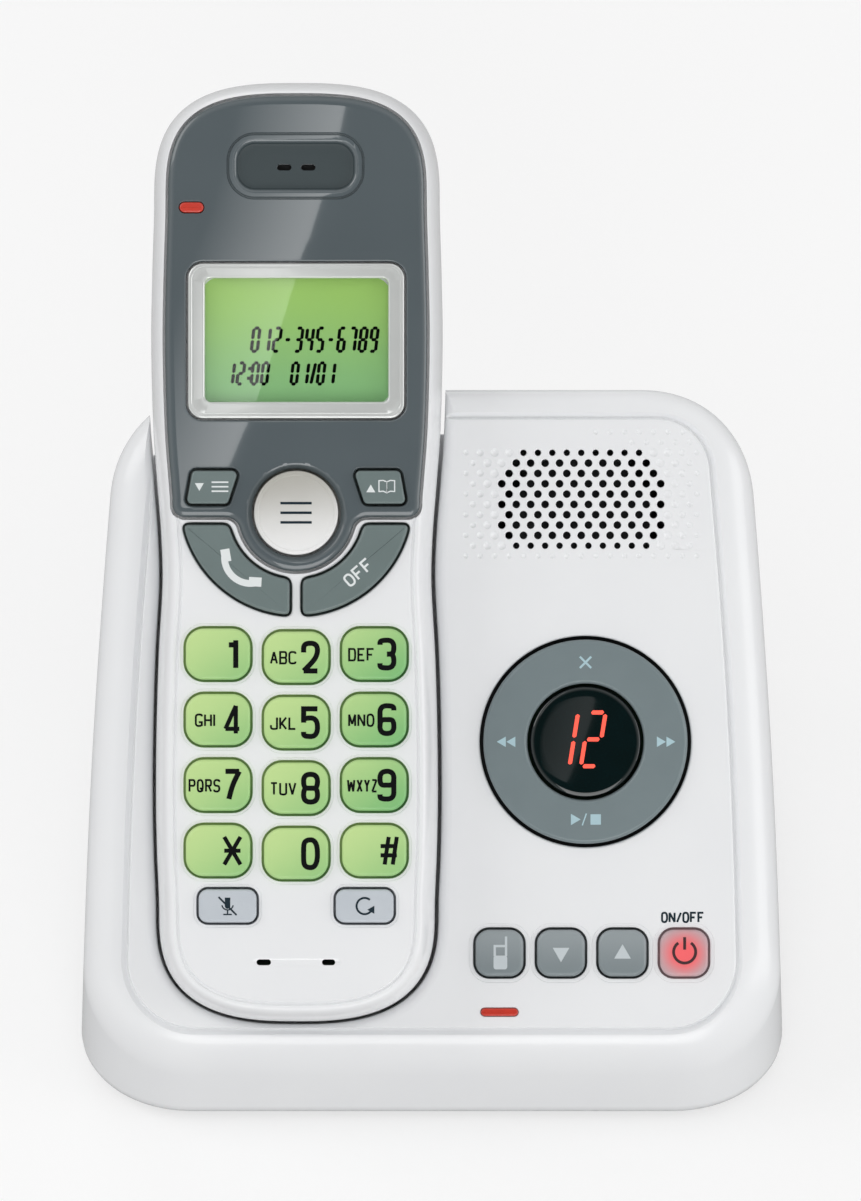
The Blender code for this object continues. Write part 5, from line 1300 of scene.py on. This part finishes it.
def ring():
    profile = [(9.75, -2.4), (17.1, -2.4), (17.1, 0.55), (17.0, 0.9), (16.75, 1.15), (16.4, RING_TOP),
               (10.4, RING_TOP), (10.05, 1.15), (9.85, 0.9), (9.75, 0.5)]
    piece = new_object("rocker_ring", [turned(profile, (RING_X, RING_V), 144, closed=True)], SLOPE)
    finish(piece, SATIN_GREY, "ring_button", "grey_key", "ring_button")
    centre = np.array([RING_X, RING_V])
    up, down, left, right = (centre + step for step in ((0, 13.3), (0, -13.0), (-13.2, 0), (13.4, 0)))
    lines = [stroke([up + (-0.95, -0.95), up + (0.95, 0.95)], 0.36), stroke([up + (-0.95, 0.95), up + (0.95, -0.95)], 0.36)]
    lines += [triangle(left + (x, 0), 1.75, 180) for x in (-0.65, 0.95)]
    lines += [triangle(right + (x, 0), 1.75, 0) for x in (-0.95, 0.65)]
    lines += [triangle(down + (-1.9, 0), 1.9, 0), stroke([down + (-0.55, -1.0), down + (0.15, 1.0)], 0.22),
              rectangle((1.75, 1.75), 0.05, down + (1.7, 0), 1)]
    parts = [prism(line, RING_TOP, RING_TOP + 0.03 + 0.002 * i) for i, line in enumerate(lines)]
    ink("ring_signs", parts, SLOPE, PALE_INK, "ring_button", "grey_key")


def glow(name, colour, strength):
    # Light-emitting bars behind tinted polycarbonate: they shine, with a slightly uneven strength along a bar
    material, tree, shader = new_material(name)
    shader.inputs["Base Color"].default_value = linear(colour)
    shader.inputs["Emission Color"].default_value = linear(colour)
    uneven = add_node(tree, "ShaderNodeMapRange", {"Value": noise(tree, 0.8), "To Min": strength * 0.85,
                                                   "To Max": strength * 1.15})
    tree.links.new(uneven.outputs[0], shader.inputs["Emission Strength"])
    shader.inputs["Roughness"].default_value = 0.3
    return material


def window():
    dome = [(9.25, -2.0), (9.25, WINDOW_TOP - 0.5), (9.1, WINDOW_TOP - 0.22), (8.8, WINDOW_TOP - 0.08),
            (8.3, WINDOW_TOP - 0.03), (7.0, WINDOW_TOP)]
    piece = new_object("window_lens", [turned(dome, (RING_X, RING_V), 128)], SLOPE)
    finish(piece, BLACK_GLASS, "base", "black_glass", "message_display_window")
    outlines = segment_outlines("12", slope_px(554, 767), 9.0, 4.6, 2.7, slant=0.16, weight=0.68, gap=0.27)
    printed("window_figures", outlines, SLOPE, WINDOW_TOP, glow("red_light_bars", "E8503F", 0.9), "base",
            "black_glass", 0.02)


def base_buttons():
    outline = rectangle(BASE_BUTTON_SIZE, BASE_BUTTON_CORNER, (0, 0), 10)
    names = ("find_handset", "volume_down", "volume_up", "answer_on_off")
    for name, place in zip(names, np.array(BASE_BUTTON_PLACES)):
        red = name == "answer_on_off"
        slot = "red_key" if red else "grey_key"
        piece = new_object(f"{name}_cap", [cap(outline + place, -3.4, 1.0, 0.5, 0.7)], SLOPE)
        # On the grey buttons this map carries a painted light, paler at the top
        mapped(piece, SLOPE, BASE_BUTTON_SIZE, place)
        finish(piece, RED_SILICONE if red else BUTTON_GREY_PAINTED_LIGHT, f"{name}_button", slot, f"{name}_button")
        if name == "find_handset":
            body = place + (0.15, -0.5)
            lines = [rectangle((2.3, 2.3), 0.4, body + (0, -1.05), 3), stroke([body + (-0.95, 0), body + (-0.95, 1.9)], 0.4),
                     stroke([body + (0.95, 0), body + (0.95, 3.3)], 0.4), stroke([body + (-0.8, 1.7), body + (0.8, 1.7)], 0.4)]
        elif name == "volume_down":
            lines = [triangle(place + (0, 0.1), 2.8, 270)]
        elif name == "volume_up":
            lines = [triangle(place + (0, -0.1), 2.8, 90)]
        else:
            lines = [stroke(arc(place + (0.1, 0.2), 1.85, 125, 415, 30), 0.48), stroke([place + (0.1, 0.6), place + (0.1, 2.7)], 0.48)]
        parts = [prism(line, 1.0, 1.03 + 0.004 * i) for i, line in enumerate(lines)]
        ink(f"{name}_sign", parts, SLOPE, POWER_INK if red else GREY_INK, f"{name}_button", slot)
    lens = pill(IN_USE_SIZE, (BASE_BUTTON_X, IN_USE_V))
    piece = new_object("in_use_lens", [cap(lens, -4.4, 0.3, 0.25, 0.25)], SLOPE)
    finish(piece, RED_LENS, "base", "red_light", "in_use_light")
    ink("on_off_print", lettering("ON/OFF", slope_px(684, 919), (0.84, 1.55), 0.0, 0.34, 0.42), SLOPE, SLATE_INK,
        "base", "white_shell")


POWER_INK = moulded("brown_black_pad_print_ink", "45282B", "3B2124", 0.45, grain=0.12, depth=0.002)
ring()
window()
base_buttons()

# %% [markdown]
# ## Pieces inside and underneath
#
# The pieces that are hidden until something moves keep the model's own shapes: boards, mats, receiver,
# battery, contacts, screws, jacks and the cover underneath. They only get their real materials. The jacks get
# their metal, which shows from behind: a pin for the mains plug and four spring wires for the line's.

# %% Materials of the model's own pieces
KEPT = (
    (MATT_ABS, "base_bottom_cover"),
    (BLACK_ABS, "line_jack power_jack base_speaker earpiece_receiver microphone message_display_module ring_carrier"),
    (RUBBER, "rubber_foot_front_left rubber_foot_front_right rubber_foot_back_left rubber_foot_back_right "
             "handset_key_mat base_button_mat"),
    (BOARD, "handset_circuit_board base_circuit_board"), (WRAP, "battery_pack"),
    (STEEL, "handset_screw_left handset_screw_right base_screw_front base_screw_back"),
    (GOLD, "handset_charge_contact_left handset_charge_contact_right cradle_contact_left cradle_contact_right"),
)


def jack_metal():
    back = BASE.origin[1] + BASE_LENGTH * math.cos(TILT)
    facing_back = np.array([[-1.0, 0, 0], [0, 0, 1.0], [0, 1.0, 0]])
    pin = [(0.05, -9.8), (0.75, -9.8), (0.75, -4.6), (0.6, -4.2), (0.05, -4.0)]
    middle = Place(np.array([JACK_SOCKETS["power_jack"][0], back, JACK_MIDDLE]), facing_back)
    ink("mains_pin", [turned(pin, sides=24)], middle, GOLD, "base", "black_plastic")
    middle = Place(np.array([JACK_SOCKETS["line_jack"][0], back, JACK_MIDDLE]), facing_back)
    wires = [skin([np.column_stack([circle(0.2, 10, (x, y)), np.full(10, z)]) for y, z in ((2.9, -3.6), (1.9, -5.0), (0.6, -9.6))])
             for x in (-1.5, -0.5, 0.5, 1.5)]
    ink("line_wires", wires, middle, GOLD, "base", "black_plastic")


for kept_material, kept_names in KEPT:
    for kept_name in kept_names.split():
        kept_mesh = frame["nodes"][kept_name].data
        for i in range(len(kept_mesh.materials)):
            kept_mesh.materials[i] = kept_material
jack_metal()
print(sum(len(names.split()) for _, names in KEPT), "pieces keep their shape")

# %% [markdown]
# ## Light, floor and camera
#
# A white thing on white is drawn by its shading alone, so the light has to be soft but not even: a large
# panel above and to the left, weaker ones at the right, in front and behind, and a sky that is brightest over the slope and dims
# toward the floor. What a mirror would show is another matter: straight above the slope the sky is dark to
# reflections, so that the window stays black, and bright all round, so that every rolled edge shines. The
# floor is white paper. It shows the camera some light of its own, so that it comes out white, takes the
# phone's shadow as any paper does, and throws back only part of the light, so that the walls darken downward.

# %% Studio
VIEW_HEIGHT = 200.17  # millimetres across the picture, top to bottom
VIEW_CENTRE = (-0.25, 75.75, 10.0)
VIEW_DISTANCE = 2000.0
SENSOR = 24.0


def aim(thing, target):
    """Turn a lamp or camera so that its -Z axis points at a target in the frame."""
    away = np.array(thing.location) - target
    away /= np.linalg.norm(away)
    side = np.cross(ALONG, away)
    side /= np.linalg.norm(side)
    up = np.cross(away, side)
    turn = np.column_stack([side, up, away])
    thing.rotation_euler = Matrix(turn.tolist()).to_euler()


def area_lamp(name, offset, size, watts):
    """A soft square lamp, placed in millimetres from the middle of the phone, in the slope's axes."""
    data = bpy.data.lights.new(name, "AREA")
    data.shape, data.size, data.energy = "SQUARE", size, watts
    made = bpy.data.objects.new(name, data)
    bpy.context.scene.collection.objects.link(made)
    made.location = in_frame(np.add(VIEW_CENTRE, offset), SLOPE) * MM
    aim(made, in_frame(VIEW_CENTRE, SLOPE) * MM)
    made.visible_camera = False
    return made


def studio():
    area_lamp("key_lamp", (-1100, 700, 800), 0.9, 5.0)
    area_lamp("fill_lamp", (1300, 0, 650), 0.9, 4.4)
    area_lamp("front_lamp", (100, -900, 1150), 0.9, 5.8)
    area_lamp("back_lamp", (-400, 1400, -350), 0.9, 3.0)
    world = bpy.data.worlds.new("sky")
    world.use_nodes = True
    tree = world.node_tree
    background = tree.nodes["Background"]
    ray = add_node(tree, "ShaderNodeLightPath").outputs
    direction = add_node(tree, "ShaderNodeTexCoord").outputs["Generated"]
    toward = add_node(tree, "ShaderNodeVectorMath", {0: direction, 1: UP.tolist()}, operation="DOT_PRODUCT")
    soft = add_node(tree, "ShaderNodeMapRange", {"Value": toward.outputs["Value"], "From Min": -0.3, "From Max": 1.0,
                                                 "To Min": 0.52, "To Max": 0.6})
    mirror = add_node(tree, "ShaderNodeMapRange", {"Value": toward.outputs["Value"], "From Min": 0.8,
                                                   "From Max": 0.96, "To Min": 0.7, "To Max": 0.04})
    strength = soft.outputs[0]
    for kind, value in (("Is Glossy Ray", mirror.outputs[0]), ("Is Camera Ray", 1.0)):
        mix = add_node(tree, "ShaderNodeMix", {0: ray[kind], 2: strength, 3: value}, data_type="FLOAT")
        strength = mix.outputs[0]
    tree.links.new(strength, background.inputs["Strength"])
    background.inputs["Color"].default_value = (1, 1, 1, 1)
    bpy.context.scene.world = world


def floor():
    size = 2000.0
    piece = new_object("floor", [prism(rectangle((size, size), 20.0), -2.0, 0.0)], BASE)
    piece.data.transform(Matrix.Scale(MM, 4))
    material, tree, shader = new_material("white_studio_paper")
    seen = add_node(tree, "ShaderNodeLightPath").outputs["Is Camera Ray"]
    paper = add_node(tree, "ShaderNodeMix", {"Factor": seen}, data_type="RGBA")
    paper.inputs[6].default_value, paper.inputs[7].default_value = linear("C0C0C0"), linear("FAFAFA")
    tree.links.new(paper.outputs[2], shader.inputs["Base Color"])
    shader.inputs["Roughness"].default_value = 0.9
    relief(tree, shader, noise(tree, 0.8), 0.01)
    light = add_node(tree, "ShaderNodeEmission", {"Color": (1, 1, 1, 1), "Strength": 1.0})
    share = add_node(tree, "ShaderNodeMath", {0: seen, 1: 0.6}, operation="MULTIPLY")
    mix = add_node(tree, "ShaderNodeMixShader", {0: share.outputs[0], 1: shader.outputs[0],
                                                 2: light.outputs[0]})
    output = next(n for n in tree.nodes if n.type == "OUTPUT_MATERIAL")
    tree.links.new(mix.outputs[0], output.inputs["Surface"])
    piece.data.materials.append(material)


def camera():
    """A long lens square to the panel, so that the slope shows its true outline."""
    data = bpy.data.cameras.new("camera")
    data.sensor_fit, data.sensor_height = "VERTICAL", SENSOR
    data.lens = SENSOR * VIEW_DISTANCE / VIEW_HEIGHT
    data.clip_end = 10.0
    made = bpy.data.objects.new("camera", data)
    bpy.context.scene.collection.objects.link(made)
    made.location = in_frame(np.add(VIEW_CENTRE, (0, 0, VIEW_DISTANCE)), SLOPE) * MM
    made.rotation_euler = (TILT, 0, 0)
    bpy.context.scene.camera = made


PLATE_CARD = ((349, 80), (346, 105), (340, 135), (332, 168), (322, 200), (311, 235), (300, 265), (285, 315),
              (270, 362), (255, 405), (240, 442), (224, 480), (208, 512))
WINDOW_CARD = ((600, 668), (598, 690), (592, 720), (582, 750), (570, 778), (556, 806))


def reflection_card(pixels, level, width, glow_low, glow_high):
    """A glowing strip that only reflections see, left of an edge given in pixels of the photograph. A point p
    of a flat face mirrors the spot at a height h over it that is moved sideways by (p - c) h / d, for a
    camera at a distance d over c."""
    edge = np.array([slope_px(x, y) for x, y in pixels])
    edge = np.vstack([edge, edge[::-1] - (width, 0)])
    height = 120.0
    spots = edge + (edge - VIEW_CENTRE[:2]) * height / VIEW_DISTANCE
    count = len(edge) // 2
    mesh = bpy.data.meshes.new("reflection_card")
    faces = [[i, i + 1, 2 * count - 2 - i, 2 * count - 1 - i] for i in range(count - 1)]
    mesh.from_pydata((in_frame(np.column_stack([spots, np.full(2 * count, level + height)]), SLOPE) * MM).tolist(), [], faces)
    corners = np.empty(len(mesh.loops), int)
    mesh.loops.foreach_get("vertex_index", corners)
    near_edge = (corners < count).astype(float)
    mesh.uv_layers.new(name="across").data.foreach_set("uv", np.column_stack([near_edge, near_edge]).ravel())
    material, tree, shader = new_material("glowing_card")
    across = add_node(tree, "ShaderNodeSeparateXYZ", {0: add_node(tree, "ShaderNodeUVMap", uv_map="across").outputs["UV"]})
    strength = add_node(tree, "ShaderNodeMapRange", {"Value": across.outputs[0], "To Min": glow_low, "To Max": glow_high})
    light = add_node(tree, "ShaderNodeEmission", {"Color": (1, 1, 1, 1), "Strength": strength.outputs[0]})
    output = next(n for n in tree.nodes if n.type == "OUTPUT_MATERIAL")
    tree.links.new(light.outputs[0], output.inputs["Surface"])
    mesh.materials.append(material)
    card = bpy.data.objects.new("reflection_card", mesh)
    bpy.context.scene.collection.objects.link(card)
    card.visible_camera = card.visible_diffuse = card.visible_shadow = card.visible_transmission = False


studio()
floor()
reflection_card(PLATE_CARD, (HANDSET.origin - SLOPE.origin) @ UP + PLATE_TOP, 18.0, 0.05, 2.7)
reflection_card(WINDOW_CARD, WINDOW_TOP, 14.0, 0.02, 0.5)
camera()
bpy.context.scene.view_settings.view_transform = "Standard"
